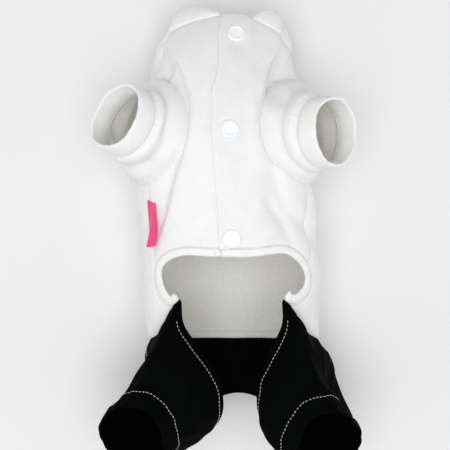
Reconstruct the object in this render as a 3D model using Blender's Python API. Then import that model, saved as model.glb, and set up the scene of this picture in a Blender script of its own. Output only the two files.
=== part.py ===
"""A small dog's jumpsuit, kept in the shape that it has when worn by a dog on its back.

A white sweatshirt-knit top with short cuffed sleeves, a snapped front and a collar is sewn to black twill
trousers that are open under the belly. +Z points out of the belly, +Y to the neck and +X to the right as one
looks down on the belly. The origin is on the outside of the back panel, where the wearer's back lies.
"""

import math

import bmesh
import bpy
import numpy as np
from mathutils import Vector
from mathutils.geometry import delaunay_2d_cdt

# Overall form, in metres
BODY_LENGTH = 0.300
CHEST_HALF_WIDTH = 0.0625
CHEST_DEPTH = 0.118
BODY_LEAN = 0.006
BACK_FLATNESS = 0.7

# Cloth walls and the gaps between pieces
KNIT = 0.0016
CUFF_KNIT = 0.0024
TWILL = 0.0014
GAP = 0.0004
LAP_EASE = 0.0005

# Neckline and collar
NECK_SIDE = 0.1295
NECK_TILT = 0.0195
NECK_LEAN = 30.0
COLLAR_HEIGHT = 0.0155
COLLAR_LEAN = 0.008

# Snapped front
LAP_WIDTH = 0.025
SNAP_RADIUS = 0.0062
SNAP_HEIGHT = 0.0019

# Armholes and sleeves
ARMHOLE_MIDDLE = 0.0655
ARMHOLE_HALF_LENGTH = 0.0365
ARMHOLE_TURN = 64.0
ARMHOLE_HALF_TURN = 38.5
SLEEVE_END_RADIUS = 0.0235
SLEEVE_ROLL = 0.0042
CUFF_WIDTH = 0.0125

# Belly hem and side label
HEM_FRONT = -0.0165
HEM_DROP = 0.0395
HEM_BAND_WIDTH = 0.0056
HEM_BAND_THICKNESS = 0.0034
LABEL_BELOW_ARMHOLE = 0.0120
LABEL_LENGTH = 0.031
LABEL_REACH = 0.0100
LABEL_TAPE = 0.0009
LABEL_LOOP = 0.0026

# Waist seam, seat and trouser legs
WAIST_BACK = -0.087
SEAT_END = -0.129
LEG_HEM_RADIUS = 0.0262
THIGH_SWELL = 0.0085
LEG_CLOTH_LENGTH = 0.070

# Sizes that the fold tables share out
FOLD_HEIGHT = 0.0040
FOLD_WIDTH = 0.0130

# Spacing of the mesh points
CLOTH_STEP = 0.0112
RIM_STEP = 0.0075

# The worn body's cross-sections: along as a share of BODY_LENGTH, half width as a share of CHEST_HALF_WIDTH,
# belly and back heights as shares of CHEST_DEPTH, and the sideways lean as a share of BODY_LEAN
SECTIONS = (
    # along, half, belly, back, lean
    (0.540, 0.64, 0.57, 0.10, 0.00),
    (0.500, 0.70, 0.63, 0.07, -0.15),
    (0.437, 0.79, 0.76, 0.06, -0.90),
    (0.367, 0.85, 0.86, 0.04, -1.00),
    (0.250, 0.90, 0.96, 0.00, -0.90),
    (0.100, 0.97, 1.00, 0.00, -0.65),
    (0.000, 1.00, 1.00, 0.00, -0.25),
    (-0.100, 1.02, 0.98, 0.00, 0.10),
    (-0.200, 1.01, 0.92, 0.00, 0.15),
    (-0.300, 0.98, 0.87, 0.02, 0.60),
    (-0.400, 0.92, 0.81, 0.05, 1.05),
    (-0.520, 0.82, 0.72, 0.13, 1.00),
)

# Side and shoulder seams: along as a share of BODY_LENGTH and the turn from the belly's middle line in degrees.
# The side seam goes from the armhole to the row of HEM_CURVE that SEAM_MEETS_HEM gives
SIDE_SEAM = (
    # along, left turn, right turn
    (0.200, 61.0, 68.0),
    (0.100, 61.0, 67.0),
    (0.050, 59.5, 62.0),
    (0.010, 58.5, 60.0),
    (-0.015, 58.0, 61.5),
    (-0.050, 57.5, 65.0),
    (-0.120, 56.5, 60.0),
)
SEAM_MEETS_HEM = 6.6
SHOULDER_SEAM = (
    # along, left turn, right turn
    (0.280, 60.0, 29.0),
    (0.320, 69.0, 34.0),
    (0.365, 75.0, 41.0),
    (0.425, 79.0, 61.0),
    (0.500, 82.0, 66.0),
)

# Edge of the upper front panel over the lower one: along as a share of BODY_LENGTH, and how far the edge is
# from the belly's middle line as a share of LAP_WIDTH
LAP_EDGE = (
    # along, edge
    (0.500, -0.38),
    (0.420, -0.16),
    (0.345, -0.18),
    (0.300, -0.34),
    (0.250, -0.35),
    (0.160, -0.31),
    (0.050, -0.29),
    (-0.060, -0.33),
)

# Snaps: along as a share of BODY_LENGTH, and how far from the upper panel's edge as a share of LAP_WIDTH
SNAPS = (
    # along, in from the edge
    (0.440, 0.74),
    (0.212, 0.52),
    (-0.030, 0.37),
)

# Collar round the neck by the right: turn in degrees, height as a share of COLLAR_HEIGHT and the inward lean of
# its top edge as a share of COLLAR_LEAN
COLLAR_SHAPE = (
    # turn, height, lean
    (20.0, 0.30, 0.20),
    (28.0, 0.52, 0.20),
    (48.0, 0.78, 0.20),
    (70.0, 0.62, 0.10),
    (90.0, 0.58, 0.10),
    (180.0, 0.60, 0.20),
    (265.0, 0.72, 0.90),
    (308.0, 1.00, 0.80),
    (330.0, 0.78, 0.50),
    (341.0, 0.50, 0.30),
    (347.0, 0.28, 0.20),
)

# Waist seam from the belly opening's corner to the middle of the back: turn in degrees, and how far it has
# dropped from the hem of the belly towards WAIST_BACK
WAIST_SEAM = (
    # turn, drop
    (37.0, 0.50),
    (42.0, 0.555),
    (45.5, 0.61),
    (49.0, 0.71),
    (55.0, 0.80),
    (62.0, 0.86),
    (76.0, 0.92),
    (95.0, 0.965),
    (130.0, 0.99),
    (180.0, 1.00),
)

# The hem from the front of the belly round the flank to the corner: turn in degrees and share of HEM_DROP
HEM_CURVE = (
    # left turn, left drop, right turn, right drop
    (0.0, 0.00, 0.0, 0.00),
    (14.0, 0.00, 12.0, 0.00),
    (27.0, -0.02, 24.0, -0.03),
    (35.0, 0.00, 33.0, -0.05),
    (41.5, 0.05, 40.0, -0.03),
    (48.0, 0.15, 46.5, 0.07),
    (53.0, 0.28, 52.5, 0.21),
    (55.3, 0.43, 57.0, 0.38),
    (55.8, 0.58, 58.8, 0.54),
    (54.6, 0.74, 57.6, 0.71),
    (51.0, 0.89, 53.4, 0.86),
    (46.0, 0.97, 47.5, 0.94),
    (41.0, 0.97, 41.5, 0.94),
    (37.0, 0.92, 37.0, 0.90),
)

# Free edge of a trouser leg, from the corner down the groin and round under the tail: across from the body's
# middle as a share of CHEST_HALF_WIDTH, along as a share of BODY_LENGTH, height as a share of CHEST_DEPTH
GROIN_EDGE = (
    # across, along, height
    (0.550, -0.222, 0.872),
    (0.450, -0.263, 0.890),
    (0.310, -0.313, 0.905),
    (0.230, -0.348, 0.905),
    (0.200, -0.382, 0.895),
    (0.200, -0.415, 0.870),
    (0.240, -0.443, 0.790),
    (0.320, -0.462, 0.660),
    (0.400, -0.470, 0.510),
    (0.440, -0.468, 0.360),
    (0.450, -0.462, 0.240),
)
SEAT_SEAM_TOP = 112.0
SEAT_SEAM_FOOT = 147.0

# Rings that the sleeves and legs end in: middle as shares of CHEST_HALF_WIDTH, BODY_LENGTH and CHEST_DEPTH,
# and the way that the limb points
CUFF_RINGS = {
    "left": ((-1.256, 0.243, 1.017), (-0.634, 0.338, 0.695)),
    "right": ((1.160, 0.208, 1.017), (0.720, 0.000, 0.695)),
}
LEG_RINGS = {
    "left": ((-1.080, -0.469, 1.000), (-0.417, -0.478, 0.772)),
    "right": ((1.080, -0.480, 1.000), (0.417, -0.478, 0.772)),
}
SIDES = {"left": -1, "right": 1}

# Ridges and valleys of the top: from and to as turn in degrees and along as a share of BODY_LENGTH, then width
# as a share of FOLD_WIDTH and height as a share of FOLD_HEIGHT, below nought for a valley
TOP_FOLDS = (
    # turn, along, turn, along, width, height
    (-30.0, 0.400, -24.0, 0.260, 0.75, 0.55),
    (-24.0, 0.260, -30.0, 0.130, 0.60, 0.40),
    (-50.0, 0.390, -46.0, 0.340, 0.95, -0.75),
    (34.0, 0.330, 24.0, 0.230, 0.60, 0.45),
    (-37.0, 0.130, -56.0, -0.040, 0.70, -0.60),
    (-30.0, 0.100, -46.0, -0.030, 0.70, 0.45),
    (40.0, 0.120, 58.0, -0.040, 0.75, -0.70),
    (36.0, 0.020, 44.0, -0.030, 0.55, -0.45),
    (72.0, 0.090, 70.0, -0.010, 0.60, 0.60),
    (-92.0, 0.110, -88.0, 0.020, 1.30, 1.25),
    (120.0, 0.300, 235.0, 0.270, 0.90, -0.40),
    (130.0, 0.120, 220.0, 0.090, 0.80, -0.35),
    (115.0, -0.120, 165.0, -0.190, 0.90, -0.40),
    (245.0, -0.110, 200.0, -0.200, 0.90, -0.40),
)

# The same for the trouser legs, with the turn round the leg from its upper side and the share of the way from
# the body to the hem
LEG_FOLDS = {
    "left": (
        # turn, share, turn, share, width, height
        (130.0, 0.44, 72.0, 0.40, 1.20, -2.80),
        (70.0, 0.38, 12.0, 0.30, 0.50, -0.90),
        (64.0, 0.16, 10.0, 0.12, 0.50, -0.60),
        (60.0, 0.60, -10.0, 0.52, 0.50, 0.50),
        (-20.0, 0.55, -60.0, 0.40, 0.45, -0.40),
        (150.0, 0.55, 230.0, 0.60, 0.60, -0.60),
    ),
    "right": (
        (110.0, 0.62, 72.0, 0.58, 1.10, -2.10),
        (70.0, 0.56, 30.0, 0.46, 0.50, -0.80),
        (88.0, 0.26, 30.0, 0.22, 0.42, 0.80),
        (80.0, 0.80, 10.0, 0.78, 0.38, 0.50),
        (60.0, 0.14, 0.0, 0.20, 0.50, -0.70),
        (320.0, 0.50, 300.0, 0.90, 1.50, 1.90),
        (150.0, 0.55, 230.0, 0.60, 0.60, -0.60),
    ),
}

# How far the leg swells between the body and the hem, round the leg: turn in degrees and share of THIGH_SWELL
LEG_SWELL = (
    # turn, swell
    (0.0, 0.45),
    (40.0, 0.30),
    (80.0, -0.30),
    (110.0, 0.30),
    (150.0, 1.00),
    (210.0, 1.10),
    (260.0, 0.60),
    (310.0, 0.35),
    (360.0, 0.45),
)

# The sleeve between the armhole and the cuff: share of the way, and the roll as a share of SLEEVE_ROLL
SLEEVE_SWELL = (
    # share, swell
    (0.00, 0.00),
    (0.30, 0.30),
    (0.58, 0.10),
    (0.82, 1.00),
    (1.00, 0.00),
)


def plain_material(name, color, roughness, sheen):
    """A Principled BSDF with the piece's own colour."""
    material = bpy.data.materials.new(name)
    material.use_nodes = True
    shader = material.node_tree.nodes["Principled BSDF"]
    shader.inputs["Base Color"].default_value = (*color, 1.0)
    shader.inputs["Roughness"].default_value = roughness
    shader.inputs["Sheen Weight"].default_value = sheen
    return material


def through(places, values, x):
    """A smooth curve through a table's values, with the slopes of a cubic Hermite spline."""
    places = np.asarray(places, float)
    values = np.asarray(values, float)
    slopes = np.gradient(values, places)
    x = np.clip(x, places[0], places[-1])
    i = np.clip(np.searchsorted(places, x, side="right") - 1, 0, len(places) - 2)
    step = places[i + 1] - places[i]
    t = (x - places[i]) / step
    start = values[i] * (2 * t**3 - 3 * t**2 + 1) + slopes[i] * step * (t**3 - 2 * t**2 + t)
    end = values[i + 1] * (3 * t**2 - 2 * t**3) + slopes[i + 1] * step * (t**3 - t**2)
    return start + end


def column(table, number):
    return np.array([row[number] for row in table], float)


def rising(table, number, x):
    """The table's column at x, where its first column may fall instead of rise."""
    places = column(table, 0)
    order = np.argsort(places)
    return through(places[order], column(table, number)[order], x)


def ridge(u, v, start, end, width):
    """1 on the line from start to end and falling off smoothly over the width around it."""
    start = np.array(start)
    run = np.array(end) - start
    share = np.clip(((u - start[0]) * run[0] + (v - start[1]) * run[1]) / (run @ run), 0, 1)
    away = (u - start[0] - share * run[0]) ** 2 + (v - start[1] - share * run[1]) ** 2
    return np.exp(-away / width**2)


def top_folds(turn, along):
    """How far the folds lift the top's cloth at a turn in radians and a place along the body."""
    lift = 0.0
    turn = np.asarray(turn, float)
    for turn_a, along_a, turn_b, along_b, width, height in TOP_FOLDS:
        start = (math.radians(turn_a) * CHEST_HALF_WIDTH, along_a * BODY_LENGTH)
        end = (math.radians(turn_b) * CHEST_HALF_WIDTH, along_b * BODY_LENGTH)
        for whole in (-2 * math.pi, 0.0, 2 * math.pi):
            u = (turn + whole) * CHEST_HALF_WIDTH
            lift = lift + height * FOLD_HEIGHT * ridge(u, along, start, end, width * FOLD_WIDTH)
    return lift


def lean_at(along):
    return rising(SECTIONS, 4, along / BODY_LENGTH) * BODY_LEAN


def body_point(turn, along, lift=0.0):
    """A point of the worn cloth, at a turn in radians from the belly's middle line and a place along the body."""
    turn = np.asarray(turn, float)
    along = np.asarray(along, float) + 0.0 * turn
    turn = turn + 0.0 * along
    share = along / BODY_LENGTH
    half = rising(SECTIONS, 1, share) * CHEST_HALF_WIDTH
    belly = rising(SECTIONS, 2, share) * CHEST_DEPTH
    back = np.maximum(rising(SECTIONS, 3, share), 0.0) * CHEST_DEPTH
    across, up = np.sin(turn), np.cos(turn)
    power = 2.15 + BACK_FLATNESS * (1 - up) / 2
    depth = (belly - back) / 2
    reach = ((np.abs(across) / half) ** power + (np.abs(up) / depth) ** power) ** (-1 / power)
    reach = reach + top_folds(turn, along) + lift
    return np.stack([lean_at(along) + reach * across, along, (belly + back) / 2 + reach * up], axis=-1)


def body_normal(turn, along):
    """The way out of the worn cloth there, from small steps along it."""
    small = 1e-4
    round_body = body_point(turn + small, along) - body_point(turn - small, along)
    down_body = body_point(turn, along + small) - body_point(turn, along - small)
    out = np.cross(down_body, round_body)
    out = out / np.linalg.norm(out, axis=-1, keepdims=True)
    return np.where(out[..., 2:] * np.cos(turn)[..., None] + out[..., :1] * np.sin(turn)[..., None] < 0, -out, out)


def neck_along(turn):
    return NECK_SIDE + NECK_TILT * np.cos(turn)


def waist_along(turn):
    """The waist seam's place at a turn in radians from the belly, either way round."""
    turn = np.degrees(np.abs(np.asarray(turn)))
    turn = np.where(turn > 180, 360 - turn, turn)
    drop = through(column(WAIST_SEAM, 0), column(WAIST_SEAM, 1), turn)
    return HEM_FRONT + drop * (WAIST_BACK - HEM_FRONT)


def seam_turn(table, along, side):
    """The turn of a side or shoulder seam, in radians and with its side's sign."""
    number = 1 if side < 0 else 2
    return side * np.radians(rising(table, number, along / BODY_LENGTH))


def evenly(points, step):
    """The polyline's points again, an even step apart, with its ends kept."""
    points = np.asarray(points, float)
    lengths = np.linalg.norm(np.diff(points, axis=0), axis=1)
    run = np.concatenate([[0], np.cumsum(lengths)])
    count = max(1, round(run[-1] / step))
    marks = np.linspace(0, run[-1], count + 1)
    return np.stack([np.interp(marks, run, points[:, i]) for i in range(points.shape[1])], axis=1)


def on_cloth(turn, along):
    """Flat cloth coordinates: the distance round the body and the distance along it."""
    return np.stack([np.asarray(turn) * CHEST_HALF_WIDTH, np.asarray(along) + 0 * np.asarray(turn)], axis=-1)


def armhole(side, angles, grow=0.0):
    """The armhole's edge in flat cloth coordinates, at angles from its side near the belly towards the neck."""
    across = ARMHOLE_HALF_TURN * math.pi / 180 * CHEST_HALF_WIDTH + grow
    length = ARMHOLE_HALF_LENGTH + grow
    c, s = np.cos(angles), np.sin(angles)
    reach = (np.abs(c) ** 2.3 + np.abs(s) ** 2.3) ** (-1 / 2.3)
    middle = ARMHOLE_TURN * math.pi / 180 * CHEST_HALF_WIDTH
    return np.stack([side * (middle - across * reach * c), ARMHOLE_MIDDLE + length * reach * s], axis=-1)


def meeting(side, table, low, high):
    """The angle round the armhole, between low and high, where a seam leaves it."""
    angles = np.linspace(low, high, 400)
    edge = armhole(side, angles)
    away = edge[:, 0] - seam_turn(table, edge[:, 1], side) * CHEST_HALF_WIDTH
    return angles[np.argmin(np.abs(away))]


def seam_line(side, table, start, end):
    along = np.linspace(start, end, 60)
    return on_cloth(seam_turn(table, along, side), along)


def corner_turn():
    return math.radians(WAIST_SEAM[0][0])


def hem_line(side, start=0.0, end=None):
    """The top's lower edge in flat cloth coordinates, between two rows of its table: from the belly to the corner."""
    number = 0 if side < 0 else 2
    rows = np.arange(len(HEM_CURVE))
    fine = np.linspace(start, rows[-1] if end is None else end, 240)
    turn = through(rows, column(HEM_CURVE, number), fine)
    drop = through(rows, column(HEM_CURVE, number + 1), fine)
    return on_cloth(side * np.radians(turn), HEM_FRONT - drop * HEM_DROP)


def neck_crossing(side):
    """Where the shoulder seam reaches the neckline, as a place along the body."""
    along = np.linspace(NECK_SIDE - NECK_TILT, NECK_SIDE + NECK_TILT, 800)
    turn = seam_turn(SHOULDER_SEAM, along, side)
    return along[np.argmin(np.abs(along - neck_along(turn)))]


def neck_line(start, end):
    turn = np.linspace(start, end, 80)
    return on_cloth(turn, neck_along(turn))


def waist_line(start, end):
    turn = np.linspace(start, end, 80)
    return on_cloth(turn, waist_along(turn))


def joined(curves, step):
    """Curves that follow each other, evened out and made one closed outline."""
    outline = [evenly(curve, step)[:-1] for curve in curves]
    return np.concatenate(outline)


def inset(outline, distance):
    """The closed outline moved inwards by a distance."""
    ahead = np.roll(outline, -1, axis=0) - outline
    area = np.sum(outline[:, 0] * np.roll(outline[:, 1], -1) - np.roll(outline[:, 0], -1) * outline[:, 1])
    ahead = ahead / np.linalg.norm(ahead, axis=1, keepdims=True) * (1 if area > 0 else -1)
    inward = np.stack([-ahead[:, 1], ahead[:, 0]], axis=1)
    before = np.roll(inward, 1, axis=0)
    both = inward + before
    both = both / np.maximum(np.sum(both * inward, axis=1, keepdims=True), 0.35)
    return outline + both * distance


def inside(outline, points):
    """Which points lie within the closed outline."""
    held = np.zeros(len(points), bool)
    for (x0, y0), (x1, y1) in zip(outline, np.roll(outline, -1, axis=0)):
        across = (y0 > points[:, 1]) != (y1 > points[:, 1])
        with np.errstate(divide="ignore", invalid="ignore"):
            x = x0 + (points[:, 1] - y0) / (y1 - y0) * (x1 - x0)
        held ^= across & (points[:, 0] < x)
    return held


def clear_of(outline, points, distance):
    """Which points are at least a distance from the closed outline."""
    far = np.ones(len(points), bool)
    for start, end in zip(outline, np.roll(outline, -1, axis=0)):
        run = end - start
        share = np.clip((points - start) @ run / (run @ run), 0, 1)
        far &= np.linalg.norm(points - start - share[:, None] * run, axis=1) > distance
    return far


def cut_cloth(outline, step):
    """Triangles of a flat piece of cloth: the outline's points, and a lattice of points within it."""
    low, high = outline.min(axis=0), outline.max(axis=0)
    rows = np.arange(low[1], high[1], step * math.sqrt(3) / 2)
    lattice = []
    for number, y in enumerate(rows):
        for x in np.arange(low[0] + (number % 2) * step / 2, high[0], step):
            lattice.append((x, y))
    lattice = np.array(lattice)
    lattice = lattice[inside(outline, lattice)]
    lattice = lattice[clear_of(outline, lattice, step * 0.55)]
    points = np.concatenate([outline, lattice])
    edge = [(i, (i + 1) % len(outline)) for i in range(len(outline))]
    made = delaunay_2d_cdt([Vector(p) for p in points], edge, [], 1, 1e-7)
    return np.array([tuple(p) for p in made[0]]), [tuple(face) for face in made[2]]


def new_piece(name, points, faces, material):
    """An object from points and faces, turned right side out and shaded smooth."""
    mesh = bpy.data.meshes.new(name)
    mesh.from_pydata([tuple(p) for p in points], [], [tuple(f) for f in faces])
    shape = bmesh.new()
    shape.from_mesh(mesh)
    if shape.calc_volume(signed=True) < 0:
        bmesh.ops.reverse_faces(shape, faces=shape.faces)
    shape.to_mesh(mesh)
    shape.free()
    mesh.shade_smooth()
    mesh.set_sharp_from_angle(angle=math.radians(50))
    mesh.materials.append(material)
    piece = bpy.data.objects.new(name, mesh)
    bpy.context.scene.collection.objects.link(piece)
    return piece


def walled(outer, inner, faces):
    """Points and faces of a closed wall between two sheets that share their faces."""
    count = len(outer)
    used = {}
    for face in faces:
        for a, b in zip(face, face[1:] + face[:1]):
            used[(a, b)] = True
    rims = [(b, a, a + count, b + count) for a, b in used if (b, a) not in used]
    back = [tuple(i + count for i in reversed(face)) for face in faces]
    return np.concatenate([outer, inner]), list(faces) + back + rims


def lap_edge(along):
    """How far round from the belly's middle line the upper front panel's edge is."""
    return rising(LAP_EDGE, 1, along / BODY_LENGTH) * LAP_WIDTH


def lap_lift(q, along):
    """How far the upper front panel stands off, over the lower one, at a distance round the body."""
    fall = np.clip((q - lap_edge(along) - LAP_WIDTH) / (LAP_WIDTH * 0.8), 0, 1)
    return (KNIT + LAP_EASE) * (1 - fall * fall * (3 - 2 * fall))


def side_seam_line(side, top):
    """The side seam from the armhole's edge down to the hem."""
    foot = hem_line(side, SEAM_MEETS_HEM)[0]
    line = seam_line(side, SIDE_SEAM, top[1], foot[1])
    share = np.linspace(0, 1, len(line))[:, None]
    line = line + (top - line[0]) * (1 - share) ** 3 + (foot - line[-1]) * share**3
    return line


def front_outline(side, shift):
    """The outline of a front panel, whose free edge down the belly is shifted round from the lap's edge."""
    shoulder = meeting(side, SHOULDER_SEAM, 0.1, 2.6)
    underarm = meeting(side, SIDE_SEAM, -2.2, -0.9)
    neck = neck_crossing(side)
    arm = armhole(side, np.linspace(shoulder, underarm, 60))
    down = np.linspace(NECK_SIDE + NECK_TILT, HEM_FRONT, 60)
    free = np.stack([lap_edge(down) + shift, down], axis=-1)
    free = free[free[:, 1] < neck_along(free[:, 0] / CHEST_HALF_WIDTH) - GAP]
    top_turn = free[0, 0] / CHEST_HALF_WIDTH
    neckline = neck_line(top_turn, seam_turn(SHOULDER_SEAM, neck, side))
    hem = hem_line(side, 0.0, SEAM_MEETS_HEM)
    hem = hem[side * hem[:, 0] > max(0.0, side * free[-1, 0])]
    shoulder_line = seam_line(side, SHOULDER_SEAM, neck, arm[0, 1])
    shoulder_line[-1] = arm[0]
    curves = [
        neckline,
        shoulder_line,
        arm,
        side_seam_line(side, arm[-1]),
        np.concatenate([hem[::-1], free[-1:]]),
        np.concatenate([free[::-1], neckline[:1]]),
    ]
    return joined(curves, RIM_STEP)


def sewn_panel(name, outline, lift, material):
    """A top panel: cloth cut to the outline, wrapped round the body and given its wall."""
    flat, faces = cut_cloth(inset(outline, GAP / 2), CLOTH_STEP)
    turn, along = flat[:, 0] / CHEST_HALF_WIDTH, flat[:, 1]
    raised = lift(flat[:, 0], along)
    out = body_normal(turn, along)
    middle = body_point(turn, along) + out * np.asarray(raised)[..., None]
    points, faces = walled(middle, middle - out * KNIT, faces)
    return new_piece(name, points, faces, material)


def back_half(side):
    """One side of the back panel's outline, from the neckline down to the waist seam's belly end."""
    shoulder = meeting(side, SHOULDER_SEAM, 0.1, 2.6)
    underarm = meeting(side, SIDE_SEAM, -2.2, -0.9) + 2 * math.pi
    arm = armhole(side, np.linspace(shoulder, underarm, 90))
    shoulder_line = seam_line(side, SHOULDER_SEAM, neck_crossing(side), arm[0, 1])
    shoulder_line[-1] = arm[0]
    return [shoulder_line, arm, side_seam_line(side, arm[-1]), hem_line(side, SEAM_MEETS_HEM)]


def back_outline():
    """The outline of the back panel, round from the left side to the right one by the back."""
    whole = 2 * math.pi * CHEST_HALF_WIDTH
    right, left = back_half(1), [curve + [whole, 0] for curve in back_half(-1)]
    right_neck, left_neck = (curves[0][0, 0] / CHEST_HALF_WIDTH for curves in (right, left))
    right_waist, left_waist = (curves[-1][-1] for curves in (right, left))
    waist = waist_line(right_waist[0] / CHEST_HALF_WIDTH, left_waist[0] / CHEST_HALF_WIDTH)
    curves = [
        neck_line(left_neck, right_neck),
        *right,
        np.concatenate([right_waist[None], waist[1:-1], left_waist[None]]),
        *[curve[::-1] for curve in reversed(left)],
    ]
    return joined(curves, RIM_STEP)


def unit(vector):
    return np.asarray(vector, float) / np.linalg.norm(vector)


def ring_frame(rings, side_name):
    """Middle, way out, and the two cross directions of a sleeve's or leg's ring: towards the belly, and round."""
    shares, way = rings[side_name]
    middle = np.array(shares) * [CHEST_HALF_WIDTH, BODY_LENGTH, CHEST_DEPTH]
    way = unit(way)
    level = unit([way[0], way[1], 0.0])
    near = -level * way[2] + np.array([0, 0, math.hypot(way[0], way[1])])
    return middle, way, near, np.cross(way, near)


def tube_faces(around, rows):
    return [
        (j * around + i, j * around + (i + 1) % around, (j + 1) * around + (i + 1) % around, (j + 1) * around + i)
        for j in range(rows - 1)
        for i in range(around)
    ]


def sheet_normals(points, faces, inward):
    """Unit normals of a sheet at its points, on the side away from the inward points."""
    normals = np.zeros_like(points)
    for face in faces:
        a, b, c, d = (points[i] for i in (face[0], face[1], face[2], face[-1]))
        across = np.cross(c - a, d - b)
        for i in face:
            normals[i] += across
    normals /= np.linalg.norm(normals, axis=1, keepdims=True)
    wrong = np.sum(normals * (points - inward), axis=1) < 0
    normals[wrong] *= -1
    return normals


def sleeve_rows(side_name):
    """Rings of points from the armhole to the cuff, with the ring's middle for each point."""
    side = SIDES[side_name]
    around, rows = 28, 9
    middle, way, near, across = ring_frame(CUFF_RINGS, side_name)
    end = middle - way * (CUFF_WIDTH + GAP)
    angles = np.arange(around) / around * 2 * math.pi
    edge = armhole(side, angles, -GAP)
    turn, along = edge[:, 0] / CHEST_HALF_WIDTH, edge[:, 1]
    start = body_point(turn, along)
    out = body_normal(turn, along)
    up = across if across[1] > 0 else -across
    spokes = np.cos(angles)[:, None] * near + np.sin(angles)[:, None] * up
    stop = end + spokes * SLEEVE_END_RADIUS
    hub = start.mean(axis=0)
    inward = hub - start
    inward = inward - np.sum(inward * out, axis=1, keepdims=True) * out
    inward = inward / np.linalg.norm(inward, axis=1, keepdims=True)
    reach = np.linalg.norm(stop - start, axis=1, keepdims=True)
    leave = (out * 0.75 + inward * 0.30 + way * 0.35) * reach
    arrive = way * reach * 0.9
    sheets, hubs = [], []
    for t in np.linspace(0, 1, rows):
        place = (
            start * (2 * t**3 - 3 * t**2 + 1)
            + leave * (t**3 - 2 * t**2 + t)
            + stop * (3 * t**2 - 2 * t**3)
            + arrive * (t**3 - t**2)
        )
        swell = through(column(SLEEVE_SWELL, 0), column(SLEEVE_SWELL, 1), t) * SLEEVE_ROLL
        sheets.append(place + spokes * swell)
        hubs.append(np.tile(hub * (1 - t) + end * t, (around, 1)))
    return np.concatenate(sheets), np.concatenate(hubs), around, rows


def sleeve(side_name, material):
    points, hubs, around, rows = sleeve_rows(side_name)
    faces = tube_faces(around, rows)
    out = sheet_normals(points, faces, hubs)
    points, faces = walled(points, points - out * KNIT, faces)
    return new_piece("sleeve_" + side_name, points, faces, material)


def cuff(side_name, material):
    """The sleeve's folded band: a short tube with a rounded lip, a little slacker at its mouth."""
    around = 28
    middle, way, near, across = ring_frame(CUFF_RINGS, side_name)
    profile = [
        (-CUFF_WIDTH, 0.0),
        (-CUFF_WIDTH * 0.85, 0.0008),
        (-CUFF_WIDTH * 0.45, 0.0004),
        (-CUFF_KNIT * 0.4, 0.0),
        (0.0, -CUFF_KNIT * 0.5),
        (-CUFF_KNIT * 0.4, -CUFF_KNIT),
        (-CUFF_WIDTH * 0.5, -CUFF_KNIT),
        (-CUFF_WIDTH, -CUFF_KNIT),
    ]
    angles = np.arange(around) / around * 2 * math.pi
    spokes = np.cos(angles)[:, None] * near + np.sin(angles)[:, None] * across
    rings = [middle + way * back + spokes * (SLEEVE_END_RADIUS + rise) for back, rise in profile]
    faces = tube_faces(around, len(rings))
    last = (len(rings) - 1) * around
    faces += [(last + i, last + (i + 1) % around, (i + 1) % around, i) for i in range(around)]
    return new_piece("cuff_" + side_name, np.concatenate(rings), faces, material)


def collar(material):
    """A soft stand collar from one edge of the snapped front, round the nape, to the other."""
    around, rows = 40, 4
    turn = np.linspace(COLLAR_SHAPE[0][0], COLLAR_SHAPE[-1][0], around)
    height = rising(COLLAR_SHAPE, 1, turn) * COLLAR_HEIGHT
    lean = rising(COLLAR_SHAPE, 2, turn) * COLLAR_LEAN
    turn = np.radians(turn)
    base = body_point(turn, neck_along(turn) + GAP) - body_normal(turn, neck_along(turn)) * LAP_EASE
    neck_way = np.array([0.0, math.cos(math.radians(NECK_LEAN)), -math.sin(math.radians(NECK_LEAN))])
    side = base - base.mean(axis=0)
    side = side - (side @ neck_way)[:, None] * neck_way
    side = side / np.linalg.norm(side, axis=1, keepdims=True)
    sheets = []
    for t in np.linspace(0, 1, rows):
        sheets.append(base + neck_way * (height * t)[:, None] - side * (lean * t**1.6)[:, None])
    points = np.concatenate(sheets)
    faces = [
        (j * around + i, j * around + i + 1, (j + 1) * around + i + 1, (j + 1) * around + i)
        for j in range(rows - 1)
        for i in range(around - 1)
    ]
    out = np.tile(side, (rows, 1))
    points, faces = walled(points, points - out * KNIT, faces)
    return new_piece("collar", points, faces, material)


def hem_band(material):
    """The rolled band along the belly's edge, from corner to corner, with a rounded flat section."""
    left = hem_line(-1)
    right = hem_line(1)
    path = evenly(np.concatenate([left[::-1], right[1:]]), 0.0044)
    run = np.gradient(path, axis=0)
    run /= np.linalg.norm(run, axis=1, keepdims=True)
    down = np.stack([run[:, 1], -run[:, 0]], axis=1)
    reach = GAP + HEM_BAND_WIDTH / 2
    centre = path + down * reach
    turn, along = centre[:, 0] / CHEST_HALF_WIDTH, centre[:, 1]
    out = body_normal(turn, along)
    lapped = np.clip((centre[:, 0] - lap_edge(along)) / HEM_BAND_WIDTH + 1, 0, 1)
    raised = lap_lift(centre[:, 0], along) * lapped
    base = body_point(turn, along) + out * (raised - HEM_BAND_THICKNESS * 0.35)[:, None]
    edge_turn, edge_along = path[:, 0] / CHEST_HALF_WIDTH, path[:, 1]
    across = base - (body_point(edge_turn, edge_along) + out * (raised - HEM_BAND_THICKNESS * 0.35)[:, None])
    across -= np.sum(across * out, axis=1, keepdims=True) * out
    across /= np.linalg.norm(across, axis=1, keepdims=True)
    around = 8
    rings = []
    for number in range(around):
        angle = 2 * math.pi * (number + 0.5) / around
        wide = math.copysign(abs(math.cos(angle)) ** 0.75, math.cos(angle)) * HEM_BAND_WIDTH / 2
        thick = math.copysign(abs(math.sin(angle)) ** 0.75, math.sin(angle)) * HEM_BAND_THICKNESS / 2
        rings.append(base + across * wide + out * thick)
    points = np.stack(rings, axis=1).reshape(-1, 3)
    faces = tube_faces(around, len(path))
    faces.append(tuple(reversed(range(around))))
    faces.append(tuple(len(points) - around + i for i in range(around)))
    return new_piece("hem_band", points, faces, material)


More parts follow.
